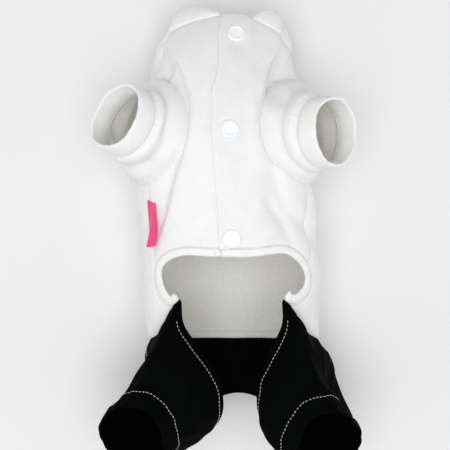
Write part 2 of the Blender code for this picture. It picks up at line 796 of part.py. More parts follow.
def turned(name, profile, centre, axis, around, material):
    """A round piece from a profile of radius and height, about an axis."""
    axis = unit(axis)
    first = unit(np.cross(axis, [0.0, 1.0, 0.0]))
    second = np.cross(axis, first)
    angles = np.arange(around) / around * 2 * math.pi
    spokes = np.cos(angles)[:, None] * first + np.sin(angles)[:, None] * second
    rings = [centre + axis * height + spokes * radius for radius, height in profile]
    points = np.concatenate(rings)
    faces = tube_faces(around, len(rings))
    faces.append(tuple(reversed(range(around))))
    faces.append(tuple(len(points) - around + i for i in range(around)))
    return new_piece(name, points, faces, material)


def snap(number, along, inwards, material):
    """A press snap's outer cap on the lap and its matching cap inside the lower front."""
    place = np.array([along * BODY_LENGTH])
    turn = (lap_edge(place) + inwards * LAP_WIDTH) / CHEST_HALF_WIDTH
    out = body_normal(turn, place)[0]
    cloth = body_point(turn, place)[0]
    foot = cloth + out * (KNIT + LAP_EASE + GAP)
    r, h = SNAP_RADIUS, SNAP_HEIGHT
    cap = [(r * 0.90, 0.0), (r, h * 0.40), (r * 0.95, h * 0.90), (r * 0.84, h), (r * 0.76, h * 0.80)]
    turned(f"snap_cap_{number}", cap, foot, out, 16, material)
    back = [(r * 0.88, 0.0), (r * 0.88, h * 0.45), (r * 0.75, h * 0.70)]
    turned(f"snap_back_{number}", back, cloth - out * (KNIT + GAP), -out, 12, material)


def side_label(material):
    """A folded loop of plain tape, caught in the left side seam."""
    top = ARMHOLE_MIDDLE - ARMHOLE_HALF_LENGTH - LABEL_BELOW_ARMHOLE
    along = np.linspace(top, top - LABEL_LENGTH, 7)
    turn = seam_turn(SIDE_SEAM, along, -1)
    out = body_normal(turn, along)
    base = body_point(turn, along) + out * (GAP + LABEL_TAPE * 1.2)
    run = unit(base[-1] - base[0])
    side = np.cross(out, run)
    side = side * np.sign(side[:, 2:])
    share = np.linspace(0, 1, len(along))
    aside = (0.62 + 0.30 * share)[:, None]
    lean = out * aside + side * np.sqrt(1 - aside**2)
    leaf = LABEL_TAPE
    gape = LABEL_LOOP / 2
    section = [
        (0.00, -leaf * 1.1),
        (0.30, -gape * 0.8),
        (0.70, -gape),
        (0.93, -gape * 0.7),
        (1.00, 0.0),
        (0.93, gape * 0.7),
        (0.70, gape),
        (0.30, gape * 0.8),
        (0.00, leaf * 1.1),
        (0.00, leaf * 0.2),
        (0.30, gape * 0.8 - leaf),
        (0.70, gape - leaf),
        (0.88, 0.0),
        (0.70, leaf - gape),
        (0.30, leaf - gape * 0.8),
        (0.00, -leaf * 0.2),
    ]
    rings = []
    for reach, away in section:
        across = np.cross(lean, np.tile(run, (len(along), 1)))
        across /= np.linalg.norm(across, axis=1, keepdims=True)
        rings.append(base + lean * (reach * LABEL_REACH) + across * away)
    points = np.stack(rings, axis=1).reshape(-1, 3)
    faces = tube_faces(len(section), len(along))
    faces.append(tuple(reversed(range(len(section)))))
    faces.append(tuple(len(points) - len(section) + i for i in range(len(section))))
    return new_piece("side_label", points, faces, material)


def seat_seam(side):
    """The seam between the seat and a leg, from the waist to the edge under the tail."""
    share = np.linspace(0, 1, 40)
    turn = np.radians(SEAT_SEAM_TOP + (SEAT_SEAM_FOOT - SEAT_SEAM_TOP) * share)
    top = waist_along(turn[:1])[0]
    foot = GROIN_EDGE[-1][1] * BODY_LENGTH
    along = top + (foot - top) * share
    return side * turn, along


def seat(material):
    """The back of the trousers, from the waist seam to the edge above the tail."""
    right_turn, right_along = seat_seam(1)
    waist = waist_line(right_turn[0], 2 * math.pi - right_turn[0])
    right = on_cloth(right_turn, right_along)
    left = on_cloth(2 * math.pi - right_turn, right_along)
    waist = waist - [0, GAP]
    right[0], left[0] = waist[0], waist[-1]
    share = np.linspace(-1, 1, 40)
    foot = right_along[-1]
    tail = on_cloth(math.pi + share * (math.pi - right_turn[-1]), SEAT_END + (foot - SEAT_END) * share**2)
    curves = [waist, left, tail[::-1], right[::-1]]
    flat, faces = cut_cloth(inset(joined(curves, RIM_STEP), GAP / 2), CLOTH_STEP)
    turn, along = flat[:, 0] / CHEST_HALF_WIDTH, flat[:, 1]
    out = body_normal(turn, along)
    outer = body_point(turn, along)
    points, faces = walled(outer, outer - out * TWILL, faces)
    return new_piece("trouser_seat", points, faces, material)


def leg_loop(side_name):
    """The closed upper edge of a leg: waist seam, groin edge, and seat seam, with the shift of each from its seam."""
    side = SIDES[side_name]
    turns = np.linspace(math.radians(SEAT_SEAM_TOP), corner_turn(), 60)
    waist = body_point(side * turns, waist_along(turns) - GAP * 2)
    along = column(GROIN_EDGE, 1) * BODY_LENGTH
    free = np.stack(
        [
            lean_at(along) + side * column(GROIN_EDGE, 0) * CHEST_HALF_WIDTH,
            along,
            column(GROIN_EDGE, 2) * CHEST_DEPTH,
        ],
        axis=1,
    )
    seat_turn, seat_along = seat_seam(1)
    seat_turn = seat_turn - GAP * 1.5 / CHEST_HALF_WIDTH
    back = body_point(side * seat_turn, np.minimum(seat_along, waist_along(seat_turn) - GAP * 2))
    groin = np.concatenate([waist[-1:], free, back[-1:]])
    rows = np.arange(len(groin), dtype=float)
    fine = np.linspace(0, rows[-1], 200)
    groin = np.stack([through(rows, groin[:, i], fine) for i in range(3)], axis=1)
    return np.concatenate([evenly(c, RIM_STEP)[:-1] for c in (waist, groin, back[::-1])])


def leg(side_name, material):
    """A trouser leg lofted from its upper edge to the hem ring, in rings about the limb."""
    rows = 9
    middle, way, near, across = ring_frame(LEG_RINGS, side_name)
    loop = leg_loop(side_name)
    across = across * SIDES[side_name] * -1
    rel = loop - middle
    start_back = rel @ way
    turn = np.unwrap(np.arctan2(rel @ across, rel @ near))
    start_reach = np.hypot(rel @ near, rel @ across)
    around = len(loop)
    shape = []
    hubs = []
    for t in np.linspace(0, 1, rows):
        ease = t * t * (3 - 2 * t)
        swell = through(column(LEG_SWELL, 0), column(LEG_SWELL, 1), np.degrees(turn) % 360) * THIGH_SWELL
        reach = start_reach * (1 - ease) + LEG_HEM_RADIUS * ease + swell * 4 * t * (1 - t)
        for turn_a, share_a, turn_b, share_b, width, height in LEG_FOLDS[side_name]:
            unit_turn = LEG_HEM_RADIUS * 1.4
            length = LEG_CLOTH_LENGTH
            for whole in (-360, 0, 360):
                u = (np.degrees(turn) % 360 + whole) * math.pi / 180 * unit_turn
                start = (math.radians(turn_a) * unit_turn, share_a * length)
                end = (math.radians(turn_b) * unit_turn, share_b * length)
                reach = reach + height * FOLD_HEIGHT * ridge(u, t * length, start, end, width * FOLD_WIDTH) * min(
                    1, 6 * t, 6 * (1 - t)
                )
        hub = middle + way * (start_back * (1 - t))[:, None]
        shape.append(hub + near * (np.cos(turn) * reach)[:, None] + across * (np.sin(turn) * reach)[:, None])
        hubs.append(hub)
    points = np.concatenate(shape)
    faces = tube_faces(around, rows)
    out = sheet_normals(points, faces, np.concatenate(hubs))
    points, faces = walled(points, points - out * TWILL, faces)
    return new_piece("trouser_leg_" + side_name, points, faces, material)


def main():
    for old in list(bpy.data.objects):
        bpy.data.objects.remove(old)
    knit = plain_material("white_knit", (0.86, 0.86, 0.87), 0.9, 0.3)
    twill = plain_material("black_twill", (0.012, 0.012, 0.014), 0.85, 0.1)
    resin = plain_material("snap_resin", (0.88, 0.88, 0.90), 0.35, 0.0)
    tape = plain_material("pink_tape", (0.86, 0.06, 0.26), 0.7, 0.1)

    sewn_panel("front_right", front_outline(1, 0.0), lap_lift, knit)
    sewn_panel("front_left", front_outline(-1, LAP_WIDTH), lambda q, along: 0 * q, knit)
    sewn_panel("back_panel", back_outline(), lambda q, along: 0 * q, knit)
    for side_name in SIDES:
        sleeve(side_name, knit)
        cuff(side_name, knit)
        leg(side_name, twill)
    seat(twill)
    collar(knit)
    hem_band(knit)
    for number, (along, inwards) in enumerate(SNAPS, 1):
        snap(number, along, inwards, resin)
    side_label(tape)


main()
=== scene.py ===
import math

import bmesh
import bpy
import numpy as np
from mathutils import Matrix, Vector
from mathutils.geometry import delaunay_2d_cdt


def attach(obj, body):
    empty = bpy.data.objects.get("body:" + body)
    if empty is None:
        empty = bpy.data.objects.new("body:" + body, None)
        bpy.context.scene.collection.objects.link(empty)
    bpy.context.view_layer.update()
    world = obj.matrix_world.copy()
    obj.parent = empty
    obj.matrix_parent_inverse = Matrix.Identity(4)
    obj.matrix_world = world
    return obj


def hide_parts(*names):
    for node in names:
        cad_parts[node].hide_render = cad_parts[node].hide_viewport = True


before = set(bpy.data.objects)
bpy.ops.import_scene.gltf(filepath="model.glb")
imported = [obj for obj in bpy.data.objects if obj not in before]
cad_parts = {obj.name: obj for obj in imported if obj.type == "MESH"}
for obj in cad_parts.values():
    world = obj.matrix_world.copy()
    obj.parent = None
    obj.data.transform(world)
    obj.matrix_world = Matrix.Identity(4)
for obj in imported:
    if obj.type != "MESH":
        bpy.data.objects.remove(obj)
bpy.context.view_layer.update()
scene = bpy.context.scene

# the worn form that every piece is laid on, in metres and degrees

form = {
    "length": 0.300,
    "halfWidth": 0.0625,
    "depth": 0.118,
    "lean": 0.006,
    "squareness": 2.15,  # power of the sections' outline, and how much flatter it gets towards the back
    "backFlatness": 0.7,
    "rest": (0.0020, 0.0006),  # cloth below the first height eases towards the second, on the floor
    "cut": 0.62,  # the flat map of the top is cut on the left, at this share of a half turn
    # along, half width, belly, back, sideways lean: shares of the sizes above
    "sections": (
        (0.540, 0.64, 0.57, 0.10, 0.00), (0.500, 0.70, 0.63, 0.07, -0.15), (0.437, 0.79, 0.76, 0.06, -0.90),
        (0.367, 0.85, 0.86, 0.04, -1.00), (0.250, 0.90, 0.96, 0.00, -0.90), (0.100, 0.97, 1.00, 0.00, -0.65),
        (0.000, 1.00, 1.00, 0.00, -0.25), (-0.100, 1.02, 0.98, 0.00, 0.10), (-0.200, 1.01, 0.92, 0.00, 0.15),
        (-0.300, 0.98, 0.87, 0.02, 0.60), (-0.400, 0.92, 0.81, 0.05, 1.05), (-0.520, 0.82, 0.72, 0.13, 1.00),
    ),
    # ripples of slack cloth: how many, their heights, the waves round the body and the shortest run along it
    "rippleCount": 12,
    "rippleHeight": 0.00020,
    "rippleWaves": (3, 13),
    "rippleRun": (0.045, 0.140),
    "rippleSeed": 11,
    "foldEnds": 0.22,  # a fold tapers over this share of its path, at both ends
    "foldFade": 0.45,
}
wholeTurn = 2 * math.pi

seams = {
    "gap": 0.0001,
    "waistGap": 0.0002,
    "pull": 0.0009,  # how far a seam draws the cloth in
    "pullWidth": 0.0024,
    "rimRadius": 0.0005,
    # along, left turn, right turn
    "side": (
        (0.200, 61.0, 68.0), (0.100, 61.0, 67.0), (0.050, 59.5, 62.0), (0.010, 58.5, 60.0),
        (-0.015, 58.0, 61.5), (-0.050, 57.5, 65.0), (-0.120, 56.5, 60.0),
    ),
    "sideMeetsHem": 6.6,
    "shoulder": (
        (0.280, 60.0, 29.0), (0.320, 69.0, 34.0), (0.365, 75.0, 41.0), (0.425, 79.0, 61.0), (0.500, 82.0, 66.0),
    ),
    # turn, share of the drop from the belly's hem to the middle of the back
    "waistBack": -0.087,
    "waist": (
        (37.0, 0.50), (42.0, 0.555), (45.5, 0.61), (49.0, 0.71), (55.0, 0.80), (62.0, 0.86), (76.0, 0.92),
        (95.0, 0.965), (130.0, 0.99), (180.0, 1.00),
    ),
}

neck = {"side": 0.1295, "tilt": 0.0195, "lean": 30.0, "dip": 0.0032, "dipTurn": 1.05, "dipWidth": 0.42}

armholes = {
    "middle": 0.0655,
    "halfLength": 0.0365,
    "turn": 64.0,
    "halfTurn": 38.5,
    "squareness": 2.3,
    # where to look for the shoulder seam and the side seam, in radians round it
    "shoulderAngles": (0.1, 2.6),
    "sideAngles": (-2.2, -0.9),
    # angle round it from the belly towards the neck, reach on the left and on the right
    "reach": (
        (-180.0, 1.00, 1.00), (-120.0, 1.00, 1.00), (-90.0, 1.00, 1.00), (-72.0, 0.95, 0.95),
        (-50.0, 0.905, 0.915), (-28.0, 0.965, 0.955), (0.0, 1.00, 1.00), (25.0, 1.00, 0.995),
        (45.0, 0.985, 0.925), (65.0, 0.97, 0.945), (90.0, 1.00, 0.985), (120.0, 1.00, 1.00),
        (180.0, 1.00, 1.00),
    ),
}

hem = {
    "front": -0.0165,
    "drop": 0.0395,
    # left turn, left drop, right turn, right drop
    "curve": (
        (0.0, 0.00, 0.0, 0.00), (14.0, 0.00, 12.0, 0.00), (27.0, -0.02, 24.0, -0.03), (35.0, 0.00, 33.0, -0.05),
        (41.5, 0.05, 40.0, -0.03), (48.0, 0.15, 46.5, 0.07), (53.0, 0.28, 52.5, 0.21), (55.3, 0.43, 57.0, 0.38),
        (55.8, 0.58, 58.8, 0.54), (54.6, 0.74, 57.6, 0.71), (51.0, 0.89, 53.4, 0.86), (46.0, 0.97, 47.5, 0.94),
        (41.0, 0.97, 41.5, 0.94), (37.0, 0.92, 37.0, 0.90),
    ),
}

lap = {
    "width": 0.025,
    "ease": 0.0005,
    "belowNeck": 0.0004,
    "fall": 0.8,  # share of the width over which the upper front comes down off the lower one
    # along, edge as a share of the width
    "edge": (
        (0.500, -0.38), (0.420, -0.16), (0.345, -0.18), (0.300, -0.34), (0.250, -0.35), (0.160, -0.31),
        (0.050, -0.29), (-0.060, -0.33),
    ),
}

# folds of the top: height, width on the right and on the left of a path that goes from the neck to the hem, then
# the path as turn and along in mm. On a path that goes towards the neck the two widths change places
topFolds = (
    (
        0.0038, 0.0110, 0.0036,
        ((-53, 126), (-34, 113), (-25, 98), (-20, 84), (-20, 68), (-23, 52), (-27, 37), (-34, 14)),
    ),
    (0.0020, 0.0090, 0.0036, ((-27, 36), (-34, 14), (-43, 0), (-50, -10))),
    (-0.0032, 0.0045, 0.0075, ((-33, 50), (-37, 34), (-45, 8), (-54, -12))),
    (0.0022, 0.0032, 0.0110, ((24, 96), (20, 84), (20, 66), (23, 48))),
    (-0.0086, 0.0150, 0.0200, ((-80, 134), (-67, 121), (-56, 109), (-47, 96))),
    (0.0014, 0.0070, 0.0070, ((34, 99), (24, 69))),
    (-0.0034, 0.0060, 0.0090, ((33, 50), (35, 37), (37, 23), (42, 11), (49, 5), (60, -2), (68, -12))),
    (-0.0025, 0.0045, 0.0060, ((28, 19), (30, 12), (37, 4), (41, -8), (42, -12))),
    (-0.0018, 0.0050, 0.0080, ((-24, -6), (-12, 2), (-4, 7))),
    (0.0022, 0.0080, 0.0080, ((72, 27), (70, -3))),
    (-0.0064, 0.0036, 0.0130, ((36, 84), (40.5, 98), (49, 112), (67, 130))),
    (-0.0062, 0.0120, 0.0110, ((52, 90), (57, 102), (65, 114), (76, 126))),
    (0.0016, 0.0090, 0.0050, ((24, 82), (28, 93), (36, 107), (53, 126))),
    (0.0045, 0.0170, 0.0170, ((-92, 33), (-88, 6))),
    (-0.0014, 0.0110, 0.0110, ((120, 90), (180, 84), (235, 81))),
    (-0.0012, 0.0100, 0.0100, ((130, 36), (180, 30), (220, 27))),
    (-0.0014, 0.0100, 0.0100, ((115, -36), (140, -46), (165, -57))),
    (-0.0014, 0.0100, 0.0100, ((245, -33), (222, -47), (200, -60))),
    (0.0011, 0.0060, 0.0090, ((100, 62), (132, 52), (160, 56))),
    (0.0011, 0.0090, 0.0060, ((262, 60), (232, 50), (205, 55))),
    (-0.0010, 0.0060, 0.0060, ((96, 8), (120, 2), (150, 8))),
    (-0.0010, 0.0060, 0.0060, ((264, 10), (240, 0), (214, 6))),
)

rng = np.random.RandomState(form["rippleSeed"])
ripples = [
    (
        rng.randint(*form["rippleWaves"]),
        rng.choice([-1, 1]) * wholeTurn / rng.uniform(*form["rippleRun"]),
        rng.uniform(0, wholeTurn),
        rng.uniform(0.5, 1.0) * form["rippleHeight"],
    )
    for number in range(form["rippleCount"])
]


def hermite(start, leave, stop, arrive, t):
    # smooth way from start to stop, with the slopes that it leaves and arrives with
    return (start * (2 * t**3 - 3 * t**2 + 1) + leave * (t**3 - 2 * t**2 + t)) + (
        stop * (3 * t**2 - 2 * t**3) + arrive * (t**3 - t**2)
    )


def through(places, values, x):
    # smooth curve through a table
    places = np.asarray(places, float)
    values = np.asarray(values, float)
    slopes = np.gradient(values, places)
    x = np.clip(x, places[0], places[-1])
    i = np.clip(np.searchsorted(places, x, side="right") - 1, 0, len(places) - 2)
    step = places[i + 1] - places[i]
    return hermite(values[i], slopes[i] * step, values[i + 1], slopes[i + 1] * step, (x - places[i]) / step)


def smoothPath(points, marks):
    # smooth curve through points, read at marks that count the points from nought
    points = np.asarray(points, float)
    places = np.arange(len(points))
    return np.stack([through(places, points[:, i], marks) for i in range(points.shape[1])], axis=1)


def column(rows, number):
    return np.array([row[number] for row in rows], float)


def rising(rows, number, x):
    places = column(rows, 0)
    order = np.argsort(places)
    return through(places[order], column(rows, number)[order], x)


def smooth(x):
    x = np.clip(x, 0, 1)
    return x * x * (3 - 2 * x)


def unit(vectors):
    vectors = np.asarray(vectors, float)
    return vectors / np.maximum(np.linalg.norm(vectors, axis=-1, keepdims=True), 1e-12)


def runAlong(path):
    # distance along a path at each of its points
    return np.concatenate([[0], np.cumsum(np.linalg.norm(np.diff(path, axis=0), axis=1))])


def nearPath(points, path):
    # distance from each flat point to a path, the side it lies on, and the share of the way along the path
    best = np.full(len(points), 1e9)
    side = np.ones(len(points))
    share = np.zeros(len(points))
    before = runAlong(path)
    for number, (start, end) in enumerate(zip(path[:-1], path[1:])):
        run = end - start
        size = run @ run
        if size < 1e-14:
            continue
        rel = points - start
        part = np.clip(rel @ run / size, 0, 1)
        away = np.linalg.norm(rel - part[:, None] * run, axis=1)
        closer = away < best
        best = np.where(closer, away, best)
        side = np.where(closer, np.sign(run[0] * rel[:, 1] - run[1] * rel[:, 0]), side)
        done = before[number] + part * (before[number + 1] - before[number])
        share = np.where(closer, done / before[-1], share)
    return best, side, share


def foldLift(points, folds, fade=0.0):
    # folds run to their mean width at the ends of their paths, and may fade there
    lift = np.zeros(len(points))
    for height, leftWidth, rightWidth, path in folds:
        away, side, share = nearPath(points, path)
        taper = smooth(share / form["foldEnds"]) * smooth((1 - share) / form["foldEnds"])
        width = (leftWidth + rightWidth) / 2 + side * (leftWidth - rightWidth) / 2 * taper
        lift += height * np.exp(-((away / width) ** 2)) * (1 - fade + fade * taper)
    return lift


flatFolds = []
for height, leftWidth, rightWidth, path in topFolds:
    path = np.array(path) * [math.radians(form["halfWidth"]), 0.001]
    flatFolds.append((height, leftWidth, rightWidth, smoothPath(path, np.linspace(0, len(path) - 1, 6 * len(path)))))


def topLift(turn, along):
    # folds and ripples of the top's cloth
    turn, along = np.broadcast_arrays(np.asarray(turn, float), np.asarray(along, float))
    cut = math.pi * form["cut"]
    wrapped = np.mod(turn.ravel() + cut, wholeTurn) - cut
    points = np.stack([wrapped * form["halfWidth"], along.ravel()], axis=1)
    lift = foldLift(points, flatFolds, form["foldFade"]).reshape(turn.shape)
    for waves, run, start, height in ripples:
        lift = lift + height * np.sin(waves * turn + run * along + start)
    return lift


def leanAt(along):
    return rising(form["sections"], 4, along / form["length"]) * form["lean"]


def bodyPoint(turn, along):
    turn, along = np.broadcast_arrays(np.asarray(turn, float), np.asarray(along, float))
    share = along / form["length"]
    half = rising(form["sections"], 1, share) * form["halfWidth"]
    belly = rising(form["sections"], 2, share) * form["depth"]
    back = np.maximum(rising(form["sections"], 3, share), 0.0) * form["depth"]
    across, up = np.sin(turn), np.cos(turn)
    power = form["squareness"] + form["backFlatness"] * (1 - up) / 2
    depth = (belly - back) / 2
    reach = ((np.abs(across) / half) ** power + (np.abs(up) / depth) ** power) ** (-1 / power)
    reach = reach + topLift(turn, along)
    height = (belly + back) / 2 + reach * up
    near, low = form["rest"]
    height = np.where(height < near, low + (near - low) * np.exp((height - near) / (near - low)), height)
    return np.stack([leanAt(along) + reach * across, along, height], axis=-1)


def bodyNormal(turn, along):
    small = 2e-4
    aside = small / form["halfWidth"]
    roundBody = bodyPoint(turn + aside, along) - bodyPoint(turn - aside, along)
    downBody = bodyPoint(turn, along + small) - bodyPoint(turn, along - small)
    out = unit(np.cross(downBody, roundBody))
    facing = out[..., 2:] * np.cos(turn)[..., None] + out[..., :1] * np.sin(turn)[..., None]
    return np.where(facing < 0, -out, out)


def wornAt(flat):
    # where points of the flat cloth lie on the body, and the way out of it there
    turn, along = flat[:, 0] / form["halfWidth"], flat[:, 1]
    return bodyPoint(turn, along), bodyNormal(turn, along)


def neckAlong(turn):
    dip = neck["dip"] * np.exp(-(((turn - neck["dipTurn"]) / neck["dipWidth"]) ** 2))
    return neck["side"] + neck["tilt"] * np.cos(turn) - dip


def waistAlong(turn):
    turn = np.degrees(np.abs(np.asarray(turn)))
    turn = np.where(turn > 180, 360 - turn, turn)
    return hem["front"] + rising(seams["waist"], 1, turn) * (seams["waistBack"] - hem["front"])


def seamTurn(rows, along, side):
    return side * np.radians(rising(rows, 1 if side < 0 else 2, along / form["length"]))


def evenly(points, step):
    points = np.asarray(points, float)
    run = runAlong(points)
    marks = np.linspace(0, run[-1], max(1, round(run[-1] / step)) + 1)
    return np.stack([np.interp(marks, run, points[:, i]) for i in range(points.shape[1])], axis=1)


def onCloth(turn, along):
    turn, along = np.broadcast_arrays(np.asarray(turn, float), np.asarray(along, float))
    return np.stack([turn * form["halfWidth"], along], axis=-1)


def armhole(side, angles, grow=0.0):
    across = math.radians(armholes["halfTurn"]) * form["halfWidth"] + grow
    length = armholes["halfLength"] + grow
    c, s = np.cos(angles), np.sin(angles)
    power = armholes["squareness"]
    reach = (np.abs(c) ** power + np.abs(s) ** power) ** (-1 / power)
    reach = reach * rising(armholes["reach"], 1 if side < 0 else 2, (np.degrees(angles) + 180) % 360 - 180)
    middle = math.radians(armholes["turn"]) * form["halfWidth"]
    return np.stack([side * (middle - across * reach * c), armholes["middle"] + length * reach * s], axis=-1)


def meeting(side, rows, between):
    # the angle round the armhole where a seam leaves it
    angles = np.linspace(*between, 400)
    edge = armhole(side, angles)
    away = edge[:, 0] - seamTurn(rows, edge[:, 1], side) * form["halfWidth"]
    return angles[np.argmin(np.abs(away))]


def seamLine(side, rows, start, end):
    along = np.linspace(start, end, 60)
    return onCloth(seamTurn(rows, along, side), along)


def hemLine(side, start=0.0, end=None):
    number = 0 if side < 0 else 2
    rows = np.array(hem["curve"])[:, number : number + 2]
    turn, drop = smoothPath(rows, np.linspace(start, len(rows) - 1 if end is None else end, 240)).T
    return onCloth(side * np.radians(turn), hem["front"] - drop * hem["drop"])


def neckCrossing(side):
    along = np.linspace(neck["side"] - neck["tilt"], neck["side"] + neck["tilt"], 800)
    turn = seamTurn(seams["shoulder"], along, side)
    return along[np.argmin(np.abs(along - neckAlong(turn)))]


def roundLine(start, end, alongAt):
    turn = np.linspace(start, end, 80)
    return onCloth(turn, alongAt(turn))


def lapEdge(along):
    return rising(lap["edge"], 1, along / form["length"]) * lap["width"]


def lapLift(flat):
    fall = (flat[:, 0] - lapEdge(flat[:, 1]) - lap["width"]) / (lap["width"] * lap["fall"])
    return (knit["wall"] + lap["ease"]) * (1 - smooth(fall))


# shader nodes


def linearColor(code):
    # sRGB hex to linear
    channels = [int(code[i : i + 2], 16) / 255 for i in (1, 3, 5)]
    return tuple(c / 12.92 if c <= 0.04045 else ((c + 0.055) / 1.055) ** 2.4 for c in channels) + (1.0,)


def addNode(tree, kind, settings={}, links={}):
    # one shader or geometry node with its values and what feeds it
    node = tree.nodes.new(kind)
    for key, value in settings.items():
        if isinstance(key, str) and hasattr(node, key):
            setattr(node, key, value)
        else:
            node.inputs[key].default_value = value
    for key, (source, output) in links.items():
        tree.links.new(source.outputs[output], node.inputs[key])
    return node


def newMaterial(name, mapping="cloth"):
    # an empty material, and its mapping: the cloth map in metres, or the object's own coordinates
    material = bpy.data.materials.new(name)
    material.use_nodes = True
    tree = material.node_tree
    tree.nodes.clear()
    if mapping == "cloth":
        return material, tree, (addNode(tree, "ShaderNodeUVMap", {"uv_map": "cloth"}), "UV")
    return material, tree, (addNode(tree, "ShaderNodeTexCoord"), "Object")


def addNoise(tree, coords, scale, detail, roughness=0.5):
    settings = {"Scale": scale, "Detail": detail, "Roughness": roughness}
    return addNode(tree, "ShaderNodeTexNoise", settings, {"Vector": coords}), "Fac"


def addBands(tree, coords, direction, width, distortion, detail=2.0, detailScale=1.0):
    # bands of a real width
    settings = {"bands_direction": direction, "Scale": math.pi / (10 * width), "Distortion": distortion}
    settings.update({"Detail": detail, "Detail Scale": detailScale})
    return addNode(tree, "ShaderNodeTexWave", settings, {"Vector": coords}), "Fac"


def addBlend(tree, share, first, second):
    return addNode(tree, "ShaderNodeMix", {"data_type": "FLOAT", 0: share}, {2: first, 3: second}), 0


def addTone(tree, low, high, share):
    # from one colour to another
    settings = {"data_type": "RGBA", 6: linearColor(low), 7: linearColor(high)}
    return addNode(tree, "ShaderNodeMix", settings, {0: share}), 2


def addBump(tree, height, strength, relief, invert=False):
    settings = {"Strength": strength, "Distance": relief, "invert": invert}
    return addNode(tree, "ShaderNodeBump", settings, {"Height": height}), "Normal"


def addSurface(tree, settings, links):
    shader = addNode(tree, "ShaderNodeBsdfPrincipled", settings, links)
    addNode(tree, "ShaderNodeOutputMaterial", {}, {"Surface": (shader, "BSDF")})


# finishes

sweatshirtKnit = {
    "color": "#F6F6F5",
    "shade": "#E8E8E8",
    "wale": 0.0011,  # real wales are about 0.8 mm, drawn a little coarser so that they show
    "fuzz": 0.0004,
    "mottle": 0.009,
    "strength": 0.55,
    "relief": 0.00012,
    "surface": {
        "Roughness": 0.92,
        "Sheen Weight": 0.12,
        "Sheen Roughness": 0.6,
        "Specular IOR Level": 0.25,
        "Subsurface Weight": 0.3,  # thin cotton lets some light through to the inside
        "Subsurface Radius": (1.0, 0.95, 0.88),
        "Subsurface Scale": 0.004,
    },
}


def makeSweatshirtKnit(values):
    # white cotton sweatshirt knit, brushed: matt, with faint columns of stitches and a soft mottle
    material, tree, cloth = newMaterial("sweatshirtKnit")
    wales = addBands(tree, cloth, "X", values["wale"], 2.2, 2.0, 2.0)
    fuzz = addNoise(tree, cloth, 1 / values["fuzz"], 3.0, 0.65)
    mottle = addNoise(tree, cloth, 1 / values["mottle"], 5.0, 0.6)
    bump = addBump(tree, addBlend(tree, 0.6, wales, fuzz), values["strength"], values["relief"])
    tone = addTone(tree, values["shade"], values["color"], mottle)
    addSurface(tree, values["surface"], {"Base Color": tone, "Normal": bump})
    return material


loopBack = {
    "color": "#FAF9F6",
    # the darker tone is painted shade for the hollows between the loops
    "shade": "#EEECE6",
    "loop": 0.0016,
    "grain": 1200.0,
    "strength": 0.7,
    "relief": 0.0004,
    "surface": {
        "Roughness": 0.97,
        "Sheen Weight": 0.1,
        "Specular IOR Level": 0.2,
        "Subsurface Weight": 0.5,
        "Subsurface Radius": (1.0, 0.95, 0.85),
        "Subsurface Scale": 0.004,
    },
}


def makeLoopBack(values):
    # the knit's inner side: uneven cream loops that look grainy, painted darker in the hollows between them as painted
    # shade
    material, tree, cloth = newMaterial("knitLoopBack")
    loops = addNode(tree, "ShaderNodeTexVoronoi", {"Scale": 1 / values["loop"], "Randomness": 0.8}, {"Vector": cloth})
    grain = addNoise(tree, cloth, values["grain"], 3.0)
    height = addBlend(tree, 0.4, (loops, "Distance"), grain)
    bump = addBump(tree, height, values["strength"], values["relief"], True)
    # painted shade: the colour turns darker where the bump is deepest, between the loops
    tone = addTone(tree, values["color"], values["shade"], (loops, "Distance"))
    addSurface(tree, values["surface"], {"Base Color": tone, "Normal": bump})
    return material


cottonTwill = {
    "color": "#020303",
    "worn": "#0A0B0B",
    "rib": 0.0010,  # twill lines are about 0.6 mm apart on the real cloth, drawn coarser so that they show
    "slant": 58,
    "lint": 700.0,
    "wear": 60.0,
    "strength": 0.6,
    "relief": 0.00018,
    "surface": {"Roughness": 0.88, "Sheen Weight": 0.0, "Sheen Roughness": 0.5, "Specular IOR Level": 0.03},
}


def makeCottonTwill(values):
    # black peached cotton twill: very dark, with slanted ribs and a little lint that catches light
    material, tree, cloth = newMaterial("cottonTwill")
    slanted = addNode(tree, "ShaderNodeMapping", {"Rotation": (0, 0, math.radians(values["slant"]))}, {"Vector": cloth})
    ribs = addBands(tree, (slanted, "Vector"), "X", values["rib"], 0.8, 1.0)
    lint = addNoise(tree, cloth, values["lint"], 4.0, 0.7)
    wear = addNoise(tree, cloth, values["wear"], 4.0)
    bump = addBump(tree, addBlend(tree, 0.4, ribs, lint), values["strength"], values["relief"])
    spread = addNode(tree, "ShaderNodeMath", {"operation": "MULTIPLY"}, {0: lint, 1: wear})
    tone = addTone(tree, values["color"], values["worn"], (spread, 0))
    addSurface(tree, values["surface"], {"Base Color": tone, "Normal": bump})
    return material


wovenTape = {
    "color": "#FF4A92",
    # the darker pink is painted shade for the grooves between the picks
    "deep": "#E42C76",
    "pick": 0.0007,
    "strength": 0.6,
    "relief": 0.0001,
    "surface": {"Roughness": 0.62, "Sheen Weight": 0.15},
}


def makeWovenTape(values):
    # bright pink woven polyester tape: fine picks across it and a faint satin gloss, with nothing woven in; darker
    # between the picks as painted shade
    material, tree, cloth = newMaterial("wovenTape")
    picks = addBands(tree, cloth, "Y", values["pick"], 0.5)
    bump = addBump(tree, picks, values["strength"], values["relief"])
    # painted shade: darker pink where the picks are low
    tone = addTone(tree, values["deep"], values["color"], picks)
    addSurface(tree, values["surface"], {"Base Color": tone, "Normal": bump})
    return material


# moulded acetal resin: smooth, slightly bluish white, with a soft highlight
snapResin = {
    "color": "#F4F5F8",
    "grain": (260.0, 2.0),
    "strength": 0.12,
    "relief": 0.0001,
    "surface": {"Roughness": 0.34, "IOR": 1.49},
}
# spun polyester sewing thread, slightly off white
spunThread = {
    "color": "#DADBDD",
    "grain": (2500.0, 1.0),
    "strength": 0.4,
    "relief": 0.00008,
    "surface": {"Roughness": 0.7, "Sheen Weight": 0.2},
}
